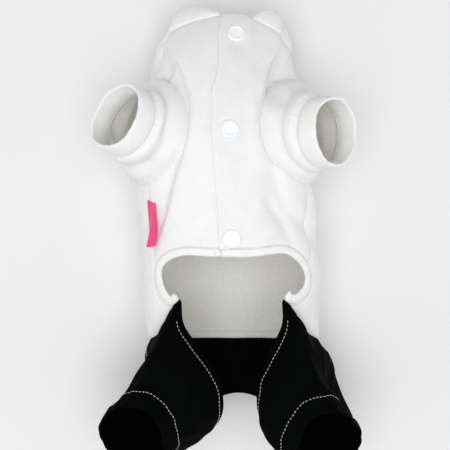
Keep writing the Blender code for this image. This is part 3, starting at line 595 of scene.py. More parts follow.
# pale matt studio paper, with a very fine grain
floorPaper = {
    "color": "#EDEDEE",
    "grain": (450.0, 3.0),
    "strength": 0.12,
    "relief": 0.0003,
    "surface": {"Roughness": 0.9, "Specular IOR Level": 0.2},
}


def makePlain(name, values):
    # one colour with a fine grain
    material, tree, place = newMaterial(name, "object")
    bump = addBump(tree, addNoise(tree, place, *values["grain"]), values["strength"], values["relief"])
    addSurface(tree, {"Base Color": linearColor(values["color"]), **values["surface"]}, {"Normal": bump})
    return material


knitFace = makeSweatshirtKnit(sweatshirtKnit)
knitBack = makeLoopBack(loopBack)
twillFace = makeCottonTwill(cottonTwill)
resinWhite = makePlain("snapResin", snapResin)
tapePink = makeWovenTape(wovenTape)
threadWhite = makePlain("spunThread", spunThread)
print("finishes made")

# cloth walls

knit = {"wall": 0.0016, "step": 0.0015, "rimStep": 0.0016, "rimRows": (0.00025, 0.0008)}
twill = {"wall": 0.0014, "step": 0.0020, "rimStep": 0.0016, "rimRows": (0.00025, 0.0007)}


def joined(curves, step):
    return np.concatenate([evenly(curve, step)[:-1] for curve in curves])


def inset(outline, distance):
    ahead = np.roll(outline, -1, axis=0) - outline
    (x, y), (nextX, nextY) = outline.T, np.roll(outline, -1, axis=0).T
    area = np.sum(x * nextY - nextX * y)
    ahead = unit(ahead) * (1 if area > 0 else -1)
    inward = np.stack([-ahead[:, 1], ahead[:, 0]], axis=1)
    both = inward + np.roll(inward, 1, axis=0)
    both = both / np.maximum(np.sum(both * inward, axis=1, keepdims=True), 0.35)
    return outline + both * distance


def inside(outline, points):
    held = np.zeros(len(points), bool)
    for (x0, y0), (x1, y1) in zip(outline, np.roll(outline, -1, axis=0)):
        if y0 == y1:
            continue
        across = (y0 > points[:, 1]) != (y1 > points[:, 1])
        held ^= across & (points[:, 0] < x0 + (points[:, 1] - y0) / (y1 - y0) * (x1 - x0))
    return held


def awayFrom(points, outline):
    return nearPath(points, np.concatenate([outline, outline[:1]]))[0]


def cutCloth(outline, step, rimRows):
    # flat triangles inside an outline, with extra rows of points by its edge, and each point's distance from it
    low, high = outline.min(axis=0), outline.max(axis=0)
    lattice = []
    for number, y in enumerate(np.arange(low[1], high[1], step * math.sqrt(3) / 2)):
        xs = np.arange(low[0] + (number % 2) * step / 2, high[0], step)
        lattice.append(np.stack([xs, np.full(len(xs), y)], axis=1))
    lattice = np.concatenate(lattice)
    lattice = lattice[inside(outline, lattice)]
    away = awayFrom(lattice, outline)
    parts = [outline, lattice[away > rimRows[-1] + step * 0.4]]
    for distance in rimRows:
        row = inset(outline, distance)
        row = row[inside(outline, row)]
        parts.append(row[awayFrom(row, outline) > distance * 0.8])
    edge = [(i, (i + 1) % len(outline)) for i in range(len(outline))]
    for attempt in range(4):
        points = np.concatenate(parts)
        made = delaunay_2d_cdt([Vector(p) for p in points], edge, [], 1, 1e-7)
        flat = np.array([tuple(p) for p in made[0]])
        faces = np.array([tuple(face) for face in made[2]])
        away = awayFrom(flat, outline)
        rim = away < 1e-6
        sides = np.sort(np.concatenate([faces[:, [0, 1]], faces[:, [1, 2]], faces[:, [2, 0]]]), axis=1)
        sides, times = np.unique(sides, axis=0, return_counts=True)
        chords = sides[(times == 2) & rim[sides[:, 0]] & rim[sides[:, 1]]]
        if not len(chords):
            break
        parts.append(flat[chords].mean(axis=1))  # no inner edge may join two points of the rim
    return flat, faces, np.where(rim, 0.0, away)


def newPiece(name, points, faces, faceUv, materials, split=None):
    # a mesh object turned right side out, with its cloth map in metres
    mesh = bpy.data.meshes.new(name)
    mesh.from_pydata(np.asarray(points).tolist(), [], faces)
    if faceUv is not None:
        layer = mesh.uv_layers.new(name="cloth")
        layer.data.foreach_set("uv", np.concatenate([np.asarray(corners, float).ravel() for corners in faceUv]))
    for material in materials:
        mesh.materials.append(material)
    if split is not None:
        slots = np.zeros(len(faces), np.int32)
        slots[split:] = 1
        mesh.polygons.foreach_set("material_index", slots)
    shape = bmesh.new()
    shape.from_mesh(mesh)
    if shape.calc_volume(signed=True) < 0:
        bmesh.ops.reverse_faces(shape, faces=shape.faces)
    shape.to_mesh(mesh)
    shape.free()
    mesh.shade_smooth()
    piece = bpy.data.objects.new(name, mesh)
    scene.collection.objects.link(piece)
    return piece


def closedCloth(name, middle, out, half, faces, faceUv, materials):
    # a wall of cloth about its middle sheet: the two sides meet where the half thickness is nought
    faces = np.asarray(faces)
    a, b, c = (middle[faces[:, i]] for i in (0, 1, 2))
    if np.sum(np.cross(b - a, c - a) * out[faces[:, 0]]) < 0:
        faces, faceUv = faces[:, ::-1], faceUv[:, ::-1]
    rim = half < 1e-9
    inner = np.where(rim, np.arange(len(middle)), len(middle) + np.cumsum(~rim) - 1)
    points = np.concatenate([middle + out * half[:, None], (middle - out * half[:, None])[~rim]])
    both = faces.tolist() + inner[faces[:, ::-1]].tolist()
    corners = np.concatenate([faceUv, faceUv[:, ::-1]])
    return newPiece(name, points, both, corners, materials, len(faces))


def rounded(away, wall, radius):
    # half the wall's thickness near an edge, rounded off over a radius
    near = np.clip(away / radius, 0, 1)
    return wall / 2 * np.sqrt(np.maximum(1 - (1 - near) ** 2, 0))


def seamPull(flat, sewn):
    pull = np.zeros(len(flat))
    for curve in sewn:
        away = nearPath(flat, np.asarray(curve)[::3])[0]
        pull = np.minimum(pull, -seams["pull"] * np.exp(-((away / seams["pullWidth"]) ** 2)))
    return pull


def sewnPanel(name, curves, sewn, cloth, materials, lift=lambda flat: 0.0, free=None):
    # a flat panel laid on the body, drawn in at its seams and rounded at its free edge
    outline = inset(joined(curves, cloth["rimStep"]), seams["gap"] / 2)
    flat, faces, away = cutCloth(outline, cloth["step"], cloth["rimRows"])
    base, out = wornAt(flat)
    raised = lift(flat) + seamPull(flat, sewn) - cloth["wall"] / 2
    radius = np.full(len(flat), seams["rimRadius"])
    if free is not None:
        radius[nearPath(flat, free)[0] < away + 1e-4] = cloth["wall"] / 2
    half = rounded(away, cloth["wall"], radius)
    piece = closedCloth(name, base + out * raised[:, None], out, half, faces, flat[faces], materials)
    print(name, len(piece.data.polygons), "faces")
    return piece


def dress(piece, slotName, *nodes):
    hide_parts(*nodes)
    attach(piece, "root")
    return piece


# the top's panels


def sideSeamLine(side, top):
    foot = hemLine(side, seams["sideMeetsHem"])[0]
    line = seamLine(side, seams["side"], top[1], foot[1])
    share = np.linspace(0, 1, len(line))[:, None]
    return line + (top - line[0]) * (1 - share) ** 3 + (foot - line[-1]) * share**3


def seamsFromNeck(side, whole, count):
    # shoulder seam, armhole and side seam of one side, in front, or at the back with a whole turn more
    shoulder = meeting(side, seams["shoulder"], armholes["shoulderAngles"])
    underarm = meeting(side, seams["side"], armholes["sideAngles"]) + whole
    arm = armhole(side, np.linspace(shoulder, underarm, count))
    shoulderLine = seamLine(side, seams["shoulder"], neckCrossing(side), arm[0, 1])
    shoulderLine[-1] = arm[0]
    return [shoulderLine, arm, sideSeamLine(side, arm[-1])]


def frontCurves(side, shift):
    # the sewn edges of a front panel, and its free edge down the belly
    down = np.linspace(neck["side"] + neck["tilt"], hem["front"], 60)
    free = np.stack([lapEdge(down) + shift, down], axis=-1)
    free = free[free[:, 1] < neckAlong(free[:, 0] / form["halfWidth"]) - lap["belowNeck"]]
    neckEnd = seamTurn(seams["shoulder"], neckCrossing(side), side)
    neckline = roundLine(free[0, 0] / form["halfWidth"], neckEnd, neckAlong)
    low = hemLine(side, 0.0, seams["sideMeetsHem"])
    low = low[side * low[:, 0] > max(0.0, side * free[-1, 0])]
    sewn = [neckline, *seamsFromNeck(side, 0.0, 60), np.concatenate([low[::-1], free[-1:]])]
    return sewn, np.concatenate([free[::-1], neckline[:1]])


def backHalf(side):
    return [*seamsFromNeck(side, wholeTurn, 90), hemLine(side, seams["sideMeetsHem"])]


def backCurves():
    right = backHalf(1)
    left = [curve + [wholeTurn * form["halfWidth"], 0] for curve in backHalf(-1)]
    rightNeck, leftNeck = (curves[0][0, 0] / form["halfWidth"] for curves in (right, left))
    rightWaist, leftWaist = (curves[-1][-1] for curves in (right, left))
    waist = roundLine(rightWaist[0] / form["halfWidth"], leftWaist[0] / form["halfWidth"], waistAlong)
    waist[0], waist[-1] = rightWaist, leftWaist
    return [roundLine(leftNeck, rightNeck, neckAlong), *right, waist, *[curve[::-1] for curve in reversed(left)]]


allowance = {
    "width": 0.0050,
    "thickness": 0.0016,
    "step": 0.0016,
    "around": 10,
    "blunt": (0.5, 0.7),
    "below": 0.0004,
    "beat": 0.10,  # uneven width, from one stitch of the overlock to the next
}


def flatSection(values):
    # across and through a flat rounded section
    angle = wholeTurn * (np.arange(values["around"]) + 0.5) / values["around"]
    parts = zip((np.cos(angle), np.sin(angle)), values["blunt"], (values["width"], values["thickness"]))
    return [np.sign(part) * np.abs(part) ** blunt * size / 2 for part, blunt, size in parts]


def stripAlong(flat, sway):
    # a flat rounded strip of overlocked cloth on the inside, beside a seam
    flat = evenly(flat, allowance["step"])
    run = unit(np.gradient(flat, axis=0))
    flat = flat + np.stack([-run[:, 1], run[:, 0]], axis=1) * sway * allowance["width"] * 0.45
    base, out = wornAt(flat)
    centre = base - out * (knit["wall"] + allowance["thickness"] / 2 + allowance["below"])
    across = unit(np.cross(out, np.gradient(centre, axis=0)))
    wide, thick = flatSection(allowance)
    beat = 1 + allowance["beat"] * np.sin(np.arange(len(flat)) * 2.4)
    return centre[:, None] + across[:, None] * (wide * beat[:, None])[..., None] + out[:, None] * thick[:, None]


def joinGrids(name, grids, material):
    # closed strips in one piece, each with its ends filled
    points, faces, uv, first = [], [], [], 0
    for grid in grids:
        rows, around = grid.shape[:2]
        last = first + (rows - 1) * around
        faces += (gridFaces(around, rows) + first).tolist()
        faces += [tuple(reversed(range(first, first + around))), tuple(range(last, last + around))]
        uv += [*gridUv(grid), np.zeros((around, 2)), np.zeros((around, 2))]
        points.append(grid.reshape(-1, 3))
        first += rows * around
    return newPiece(name, np.concatenate(points), faces, uv, [material])


snaps = {
    "radius": 0.0062,
    "height": 0.0019,
    "dent": 0.0004,  # how far the cloth is pressed in round a cap
    "dentWidth": 0.0095,
    # along, in from the lap's edge, and how far the stiff cap turns the cloth towards the neck, in radians
    "places": ((0.440, 0.74, 0.24), (0.212, 0.52, 0.0), (-0.030, 0.37, 0.04)),
    "lip": 0.0009,
    # the dish in the cap: in from its edge and down from its top; then the inner cap as shares of radius and height
    "dish": ((0.0016, 0.00003), (0.0021, 0.0002), (0.0025, 0.00042), (0.0030, 0.0005)),
    "back": ((0.88, 0.30), (0.84, 0.45), (0.72, 0.62), (0.66, 0.66), (0.30, 0.66), (0.24, 0.35)),
}


def snapPlace(along, inwards):
    place = np.array([along * form["length"]])
    return (lapEdge(place) + inwards * lap["width"]) / form["halfWidth"], place


def snapDents(flat):
    dent = np.zeros(len(flat))
    for along, inwards, tilt in snaps["places"]:
        turn, place = snapPlace(along, inwards)
        away = np.hypot(flat[:, 0] - turn[0] * form["halfWidth"], flat[:, 1] - place[0])
        near = np.exp(-((away / snaps["dentWidth"]) ** 2))
        dent += (tilt * (flat[:, 1] - place[0]) * 1.5 - snaps["dent"]) * near
    return dent


def upperLift(flat):
    return lapLift(flat) + snapDents(flat)


knitSides = [knitFace, knitBack]
sewn, free = frontCurves(1, 0.0)
frontRight = sewnPanel("frontRight", sewn + [free], sewn, knit, knitSides, upperLift, free)
dress(frontRight, "white_knit", "front_right")
sewn, free = frontCurves(-1, lap["width"])
frontLeft = sewnPanel("frontLeft", sewn + [free], sewn, knit, knitSides, snapDents, free)
dress(frontLeft, "white_knit", "front_left")
curves = backCurves()
backPanel = sewnPanel("backPanel", curves, curves, knit, knitSides)
dress(backPanel, "white_knit", "back_panel")

# sleeves and cuffs

# middle of each open end, as shares of the sizes of the form, and the way that it faces
rings = {
    "cuffs": {
        "left": ((-1.240, 0.243, 1.017), (-0.634, 0.338, 0.695)),
        "right": ((1.125, 0.208, 1.017), (0.720, 0.000, 0.695)),
    },
    "legs": {
        "left": ((-1.080, -0.469, 1.000), (-0.417, -0.478, 0.772)),
        "right": ((1.080, -0.480, 1.000), (0.417, -0.478, 0.772)),
    },
}
sides = {"left": -1, "right": 1}


def ringFrame(group, sideName):
    shares, way = rings[group][sideName]
    middle = np.array(shares) * [form["halfWidth"], form["length"], form["depth"]]
    way = unit(way)
    level = unit([way[0], way[1], 0.0])
    near = -level * way[2] + np.array([0, 0, math.hypot(way[0], way[1])])
    return middle, way, near, np.cross(way, near)


quad = ((0, 0), (1, 0), (1, 1), (0, 1))


def gridFaces(around, rows):
    j, i = np.meshgrid(np.arange(rows - 1), np.arange(around), indexing="ij")
    corners = [(j + b) * around + (i + a) % around for a, b in quad]
    return np.stack(corners, axis=-1).reshape(-1, 4)


def gridUv(grid):
    # cloth map of a tube: the mean way round, and the way down each column
    around = grid.shape[1]
    closed = np.concatenate([grid, grid[:, :1]], axis=1)
    step = np.linalg.norm(np.diff(closed, axis=1), axis=2).mean(axis=0)
    u = np.concatenate([[0], np.cumsum(step)])
    down = np.linalg.norm(np.diff(closed, axis=0), axis=2).mean(axis=1)
    v = np.concatenate([[0], np.cumsum(down)])
    j, i = np.meshgrid(np.arange(grid.shape[0] - 1), np.arange(around), indexing="ij")
    corners = [np.stack([u[i + a], v[j + b]], axis=-1) for a, b in quad]
    return np.stack(corners, axis=2).reshape(-1, 4, 2)


def gridNormals(grid, hubs):
    roundIt = np.roll(grid, -1, axis=1) - np.roll(grid, 1, axis=1)
    down = np.gradient(grid, axis=0)
    out = unit(np.cross(roundIt, down))
    return out if np.sum(out * (grid - hubs)) > 0 else -out


def downColumns(grid):
    # distance down each column of a grid from its first row
    step = np.linalg.norm(np.diff(grid, axis=0), axis=2)
    return np.concatenate([np.zeros((1, grid.shape[1])), np.cumsum(step, axis=0)])


def spokesOf(around, first, second):
    # angles round a ring, and the ways out to them
    angles = np.arange(around) / around * 2 * math.pi
    return angles, np.cos(angles)[:, None] * first + np.sin(angles)[:, None] * second


def clothTube(name, grid, hubs, raised, wall, radii, materials):
    # a tube of cloth from rings of points in the middle of its wall; radii round its two ends off
    out = gridNormals(grid, hubs)
    down = downColumns(grid)
    up = down[-1] - down
    half = np.minimum(rounded(down, wall, radii[0]), rounded(up, wall, radii[1]))
    half[0] = half[-1] = 0
    middle = (grid + out * raised[..., None]).reshape(-1, 3)
    faces = gridFaces(grid.shape[1], grid.shape[0])
    return closedCloth(name, middle, out.reshape(-1, 3), half.ravel(), faces, gridUv(grid), materials)


def rowShares(rows, ends, length):
    # shares of the way down a tube: even, with a few close to the ends for their rounding
    close = np.array(ends) / length
    first = close[-1] * 2.2
    return np.concatenate([[0], close, np.linspace(first, 1 - first, rows), 1 - close[::-1], [1]])


sleeves = {
    "endRadius": 0.0235,
    "roll": 0.0042,
    "cuffWidth": 0.0150,
    "cuffWall": 0.0024,
    "cuffBulge": ((0.80, 0.0008), (0.55, 0.0009), (0.30, 0.0006)),  # share of the width, rise
    "cuffWaves": ((0.0005, 3, 0.8), (0.0003, 7, 2.0), (0.00012, 19, 0.0)),
    "clothLength": 0.040,
    "foldRadius": 0.026,
    "around": 150,
    "rows": 34,
    # share of the way, roll as a share
    "swell": ((0.00, 0.00), (0.25, 0.36), (0.54, 0.06), (0.78, 0.85), (0.91, 0.80), (1.00, -0.05)),
    "puckers": (23, 31, 41),
    "puckerHeight": 0.00014,
    # folds by side: height, widths, path as turn round the sleeve in degrees and share of the way down it
    "folds": {
        "left": (
            (-0.0016, 0.0060, 0.0060, ((10, 0.62), (60, 0.50), (120, 0.40))),
            (0.0014, 0.0060, 0.0050, ((200, 0.75), (240, 0.45), (280, 0.30))),
            (-0.0016, 0.0060, 0.0050, ((215, 0.85), (262, 0.55), (300, 0.50))),
        ),
        "right": ((0.0012, 0.0060, 0.0060, ((200, 0.40), (250, 0.50), (300, 0.40))),),
    },
}


def limbFolds(turn, share, folds, radius, length):
    # folds of a sleeve or leg, in its own flat cloth
    flat = [(*fold[:3], np.array(fold[3]) * [math.radians(radius), length]) for fold in folds]
    down = np.broadcast_to(share, turn.shape).ravel() * length
    lift = np.zeros(turn.size)
    for whole in (-wholeTurn, 0, wholeTurn):
        lift += foldLift(np.stack([(turn.ravel() + whole) * radius, down], axis=1), flat)
    return lift.reshape(turn.shape)


def makeSleeve(sideName):
    side = sides[sideName]
    around = sleeves["around"]
    middle, way, near, across = ringFrame("cuffs", sideName)
    end = middle - way * (sleeves["cuffWidth"] + seams["gap"])
    angles, spokes = spokesOf(around, near, across if across[1] > 0 else -across)
    base, out = wornAt(armhole(side, angles, -seams["gap"] / 2))
    start = base - out * (knit["wall"] / 2 + seams["pull"])
    stop = end + spokes * (sleeves["endRadius"] - sleeves["cuffWall"] / 2)
    hub = start.mean(axis=0)
    inward = hub - start
    inward = unit(inward - np.sum(inward * out, axis=1, keepdims=True) * out)
    reach = np.linalg.norm(stop - start, axis=1, keepdims=True)
    under = np.clip(-np.sin(angles), 0, 1)[:, None] ** 1.5  # the underside is short and straight
    leave = (out * (0.75 - 0.40 * under) + inward * 0.30 + way * (0.35 + 0.25 * under)) * reach
    grid, hubs = [], []
    steps = rowShares(sleeves["rows"], (0.0003, 0.0008, 0.0016), sleeves["clothLength"])
    for t in steps:
        swell = rising(sleeves["swell"], 1, t) * sleeves["roll"]
        grid.append(hermite(start, leave, stop, way * reach * 0.9, t) + spokes * swell * (1 - 0.35 * under))
        hubs.append(np.tile(hub * (1 - t) + end * t, (around, 1)))
    grid, hubs = np.array(grid), np.array(hubs)
    turns = np.broadcast_to(angles, grid.shape[:2])
    lift = limbFolds(turns, steps[:, None], sleeves["folds"][sideName], sleeves["foldRadius"], sleeves["clothLength"])
    lift = lift * smooth(np.minimum(steps, 1 - steps) * 6)[:, None]
    down = downColumns(grid)
    ends = np.minimum(down, down[-1] - down)
    pucker = sum(np.sin(n * turns + 2.1 * n + side) for n in sleeves["puckers"]) * sleeves["puckerHeight"]
    lift = lift + pucker * np.exp(-((ends / 0.006) ** 2)) * smooth(ends / 0.0012)
    radii = (seams["rimRadius"], seams["rimRadius"])
    return clothTube("sleeve" + sideName.capitalize(), grid, hubs, lift, knit["wall"], radii, knitSides)


def makeCuff(sideName):
    # the sleeve's folded band: two layers of knit with a rounded lip
    around = sleeves["around"]
    width, wall = sleeves["cuffWidth"], sleeves["cuffWall"]
    middle, way, near, across = ringFrame("cuffs", sideName)
    r = wall / 2
    profile = [(-width, -0.0004), (-width + 0.0004, 0.0)]
    profile += [(-width * share, rise) for share, rise in sleeves["cuffBulge"]]
    profile.append((-r * 1.3, 0.0002))
    profile += [(-r + r * math.sin(a), -r + r * math.cos(a) + 0.0001) for a in np.linspace(0.35, math.pi - 0.2, 8)]
    profile += [(-r * 1.6, -wall), (-width * 0.5, -wall - 0.0002), (-width + 0.0004, -wall), (-width, -wall + 0.0004)]
    angles, spokes = spokesOf(around, near, across)
    wave = sum(height * np.sin(n * angles + start) for height, n, start in sleeves["cuffWaves"])
    rows = []
    for backward, rise in profile:
        share = 1 + backward / width
        reach = sleeves["endRadius"] + rise + 0.6 * share * wave[::-1]
        rows.append(middle + way * (backward + share * wave)[:, None] + spokes * reach[:, None])
    grid = np.array(rows + rows[:1])
    faces = gridFaces(around, len(rows) + 1) % (len(rows) * around)
    return newPiece("cuff" + sideName.capitalize(), grid[:-1].reshape(-1, 3), faces.tolist(), gridUv(grid), [knitFace])


for sideName in sides:
    dress(makeSleeve(sideName), "white_knit", "sleeve_" + sideName)
    dress(makeCuff(sideName), "white_knit", "cuff_" + sideName)
strips = []
for side in (-1, 1):
    shoulderLine, arm, sideLine = seamsFromNeck(side, wholeTurn, 90)
    strips += [stripAlong(shoulderLine, side), stripAlong(sideLine[:-4], side)]
    strips.append(stripAlong(armhole(side, np.linspace(0, wholeTurn, 200), 0.0026), 0))
corner = math.radians(seams["waist"][0][0]) + 0.08
strips.append(stripAlong(roundLine(corner, wholeTurn - corner, waistAlong) + [0, 0.0022], 0))
allowances = joinGrids("seamAllowances", strips, knitBack)
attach(allowances, "root")
print("sleeves, cuffs and seam allowances made")

# collar

collar = {
    "height": 0.0155,
    "lean": 0.008,
    "wall": 0.0030,  # the band is folded, so it is two layers of knit
    "belly": 0.0010,  # how far it bulges outwards at half its height
    "waves": ((0.0006, 5, 1.0), (0.0005, 11, 0.3), (0.0002, 23, 0.0)),
    "around": 200,
    "rows": 16,
    # turn, height, lean of the top edge
    "shape": (
        (28.0, 0.03, 0.20), (34.0, 0.46, 0.20), (43.0, 0.95, 0.15), (55.0, 1.17, 0.12), (70.0, 1.08, 0.10),
        (90.0, 0.80, 0.10), (180.0, 0.60, 0.20), (250.0, 0.76, 0.80), (275.0, 0.92, 1.15), (290.0, 1.06, 1.05),
        (302.0, 1.32, 0.75), (312.0, 1.28, 0.55), (322.0, 1.10, 0.45), (332.0, 0.84, 0.40), (341.0, 0.46, 0.30),
        (350.0, 0.03, 0.20),
    ),
}


def makeCollar():
    turn = np.linspace(collar["shape"][0][0], collar["shape"][-1][0], collar["around"])
    height = rising(collar["shape"], 1, turn) * collar["height"]
    lean = rising(collar["shape"], 2, turn) * collar["lean"]
    turn = np.radians(turn)
    base, out = wornAt(onCloth(turn, neckAlong(turn)))
    base = base - out * (knit["wall"] / 2 + seams["pull"] * 0.5)
    tilt = math.radians(neck["lean"])
    neckWay = np.array([0.0, math.cos(tilt), -math.sin(tilt)])
    aside = base - base.mean(axis=0)
    aside = unit(aside - (aside @ neckWay)[:, None] * neckWay)
    steps = np.concatenate([[0, 0.03, 0.08], np.linspace(0.14, 0.84, collar["rows"]), [0.90, 0.95, 0.985, 1.0]])
    wave = sum(size * np.sin(n * turn + start) for size, n, start in collar["waves"])
    grid = []
    for t in steps:
        back = lean * t**1.6 - wave * t - collar["belly"] * math.sin(math.pi * t)
        grid.append(base + neckWay * (height * t)[:, None] - aside * back[:, None])
    grid = np.array(grid)
    out = unit(np.cross(np.gradient(grid, axis=1), np.gradient(grid, axis=0)))
    out *= 1 if np.sum(out * aside) > 0 else -1
    down = downColumns(grid)
    across = downColumns(grid.transpose(1, 0, 2)).T
    away = np.minimum(down[-1] - down, np.minimum(across, across[:, -1:] - across))
    half = np.minimum(rounded(away, collar["wall"], collar["wall"] / 2), rounded(down, collar["wall"], 0.0006))
    half[0] = half[-1] = 0
    half[:, 0] = half[:, -1] = 0
    rows, count = grid.shape[:2]
    j, i = np.meshgrid(np.arange(rows - 1), np.arange(count - 1), indexing="ij")
    faces = np.stack([(j + b) * count + i + a for a, b in quad], axis=-1).reshape(-1, 4)
    faceUv = np.stack([across, down], axis=-1).reshape(-1, 2)[faces]
    return closedCloth("collarBand", grid.reshape(-1, 3), out.reshape(-1, 3), half.ravel(), faces, faceUv, [knitFace])


dress(makeCollar(), "white_knit", "collar")

# rolled band of the belly hem

band = {
    "width": 0.0056,
    "thickness": 0.0034,
    "step": 0.0011,
    "around": 24,
    "corner": 0.35,  # how much wider the band stands where it turns up the sides
    "cornerRun": (0.020, 0.016),
    "knot": 0.45,
    "knotRun": 0.0055,
    "blunt": (0.75, 0.85),
    "overlap": 0.0007,  # how far it covers the panel's edge
    "sunk": 0.35,
    "endRun": 0.0012,
    "ripples": ((0.00018, 0.0046, 0.0), (0.00025, 0.031, 1.0)),
    "lap": 0.022,  # how far the lower band runs on below the upper front
    "under": -0.0017,
}


def outOfHem(path):
    run = unit(np.gradient(path, axis=0))
    return np.stack([run[:, 1], -run[:, 0]], axis=1)


def makeBand(name, path, cornerFirst, liftOf):
    # a rounded flat section swept along the hem, its ends closed by shrinking it, with a knot at the hem's corner
    path = evenly(path, band["step"])
    fromCorner = np.arange(len(path)) * band["step"]
    fromCorner = fromCorner if cornerFirst else fromCorner[::-1]
    middle, spread = band["cornerRun"]
    knot = band["knot"] * np.exp(-((fromCorner / band["knotRun"]) ** 2))
    wider = 1 + band["corner"] * np.exp(-(((fromCorner - middle) / spread) ** 2)) + knot
    centre = path + outOfHem(path) * (band["width"] * wider / 2 - band["overlap"])[:, None]
    base, out = wornAt(centre)
    across = base - wornAt(path)[0]
    across = unit(across - np.sum(across * out, axis=1, keepdims=True) * out)
    base = base + out * (liftOf(centre) - band["thickness"] * band["sunk"])[:, None]
    run = runAlong(base)
    ends = np.minimum(run, run[-1] - run) / band["endRun"]
    close = np.sqrt(np.clip(1 - (1 - np.clip(ends, 0, 1)) ** 2, 0.02, 1))
    ripple = sum(size * np.sin(run * wholeTurn / pitch + start) for size, pitch, start in band["ripples"])
    wide, thick = flatSection(band)
    wide = wide * (wider * close)[:, None]
    thick = thick * ((1 + ripple / (band["thickness"] / 2)) * (1 + knot) * close)[:, None]
    grid = base[:, None] + across[:, None] * wide[..., None] + out[:, None] * thick[..., None]
    return joinGrids(name, [grid], knitFace)


leftHem, rightHem = hemLine(-1), hemLine(1)
wholeHem = np.concatenate([leftHem[::-1], rightHem[1:]])
middleRow = len(leftHem) - 1
order = np.arange(len(wholeHem))
frontEdge = lapEdge(np.array([hem["front"]]))[0]
lowerEnd = frontEdge + band["lap"]
lowerBandPath = wholeHem[(order < middleRow) | (wholeHem[:, 0] < lowerEnd)]
lowerBandPath = lowerBandPath[: np.argmax(lowerBandPath[:, 0] > lowerEnd - 0.0015) or None]
upperBandPath = wholeHem[np.argmax((wholeHem[:, 0] > frontEdge) & (order > middleRow - 80)) :]


def lowerRaise(flat):
    return band["under"] * smooth((flat[:, 0] - (frontEdge - 0.006)) / 0.006)


def upperRaise(flat):
    return lapLift(flat) * 0.9 + 0.0003 * smooth((lowerEnd + 0.004 - flat[:, 0]) / 0.004)


dress(makeBand("bandLower", lowerBandPath, True, lowerRaise), "white_knit", "hem_band")
dress(makeBand("bandUpper", upperBandPath, False, upperRaise), "white_knit", "hem_band")
print("collar and band made")

# trousers

trousers = {
    "seatEnd": -0.129,
    "seatGap": 0.0003,
    "seatTop": 112.0,
    "seatFoot": 147.0,
    "hemRadius": 0.0262,
    "swell": 0.0085,
    "clothLength": 0.070,
    "loopStep": 0.0017,
    "rows": 44,
    "hemDepth": 0.0125,  # turned up and stitched this far above the edge
    "edgeDepth": 0.0056,
    "groove": 0.00035,
    "ply": 0.00045,
    "hemFlat": {"left": 0.0060, "right": 0.0080},
    "hemCorner": 0.0034,  # the turned-up hem stands in a blunt corner towards the belly
    "pocket": ((86, 0.16), (76, 0.28), (66, 0.38)),
    # across, along, height
    "groinEdge": (
        (0.550, -0.222, 0.872), (0.450, -0.263, 0.890), (0.310, -0.313, 0.905), (0.230, -0.348, 0.905),
        (0.200, -0.382, 0.895), (0.200, -0.415, 0.870), (0.240, -0.443, 0.790), (0.320, -0.462, 0.660),
        (0.400, -0.470, 0.510), (0.440, -0.468, 0.360), (0.450, -0.462, 0.240),
    ),
    "swellRound": (
        (0, 0.45), (40, 0.30), (80, -0.30), (110, 0.30), (150, 1.00), (210, 1.10), (260, 0.60), (310, 0.35),
        (360, 0.45),
    ),
    # height, widths, path as turn in degrees and share of the way down
    "folds": {
        "left": (
            (-0.0150, 0.0135, 0.0135, ((130, 0.43), (74, 0.40))),
            (-0.0060, 0.0130, 0.0130, ((112, 0.64), (84, 0.62))),
            (-0.0036, 0.0060, 0.0070, ((70, 0.38), (12, 0.30))),
            (-0.0024, 0.0060, 0.0070, ((64, 0.16), (10, 0.12))),
            (0.0020, 0.0065, 0.0065, ((60, 0.60), (-10, 0.52))),
            (-0.0016, 0.0060, 0.0060, ((-20, 0.55), (-60, 0.40))),
            (-0.0024, 0.0080, 0.0080, ((150, 0.55), (230, 0.60))),
            (0.0012, 0.0040, 0.0050, ((48, 0.26), (10, 0.40), (-24, 0.62))),
            (-0.0011, 0.0040, 0.0050, ((30, 0.66), (0, 0.78), (-30, 0.90))),
        ),
        "right": (
            (-0.0084, 0.0140, 0.0140, ((110, 0.62), (72, 0.58))),
            (-0.0035, 0.0120, 0.0120, ((112, 0.76), (80, 0.74))),
            (-0.0032, 0.0060, 0.0070, ((70, 0.56), (30, 0.46))),
            (0.0032, 0.0055, 0.0055, ((88, 0.26), (30, 0.22))),
            (0.0020, 0.0050, 0.0050, ((80, 0.80), (10, 0.78))),
            (-0.0028, 0.0060, 0.0070, ((60, 0.14), (0, 0.20))),
            (0.0076, 0.0190, 0.0190, ((320, 0.50), (300, 0.90))),
            (-0.0024, 0.0080, 0.0080, ((150, 0.55), (230, 0.60))),
            (0.0012, 0.0040, 0.0050, ((60, 0.34), (20, 0.44), (-10, 0.62))),
            (-0.0011, 0.0040, 0.0050, ((40, 0.62), (8, 0.72), (-24, 0.88))),
        ),
    },
}


def seatSeam(side):
    share = np.linspace(0, 1, 40)
    turn = np.radians(trousers["seatTop"] + (trousers["seatFoot"] - trousers["seatTop"]) * share)
    top = waistAlong(turn[:1])[0]
    foot = trousers["groinEdge"][-1][1] * form["length"]
    return side * turn, top + (foot - top) * share


def makeSeat():
    turn, along = seatSeam(1)
    waist = roundLine(turn[0], wholeTurn - turn[0], waistAlong) - [0, trousers["seatGap"]]
    right, left = onCloth(turn, along), onCloth(wholeTurn - turn, along)
    right[0], left[0] = waist[0], waist[-1]
    share = np.linspace(-1, 1, 40)
    low = trousers["seatEnd"] + (along[-1] - trousers["seatEnd"]) * share**2
    tail = onCloth(math.pi + share * (math.pi - turn[-1]), low)
    curves = [waist, left, tail[::-1], right[::-1]]
    return sewnPanel("trouserSeat", curves, [waist, left, right], twill, [twillFace], free=tail)


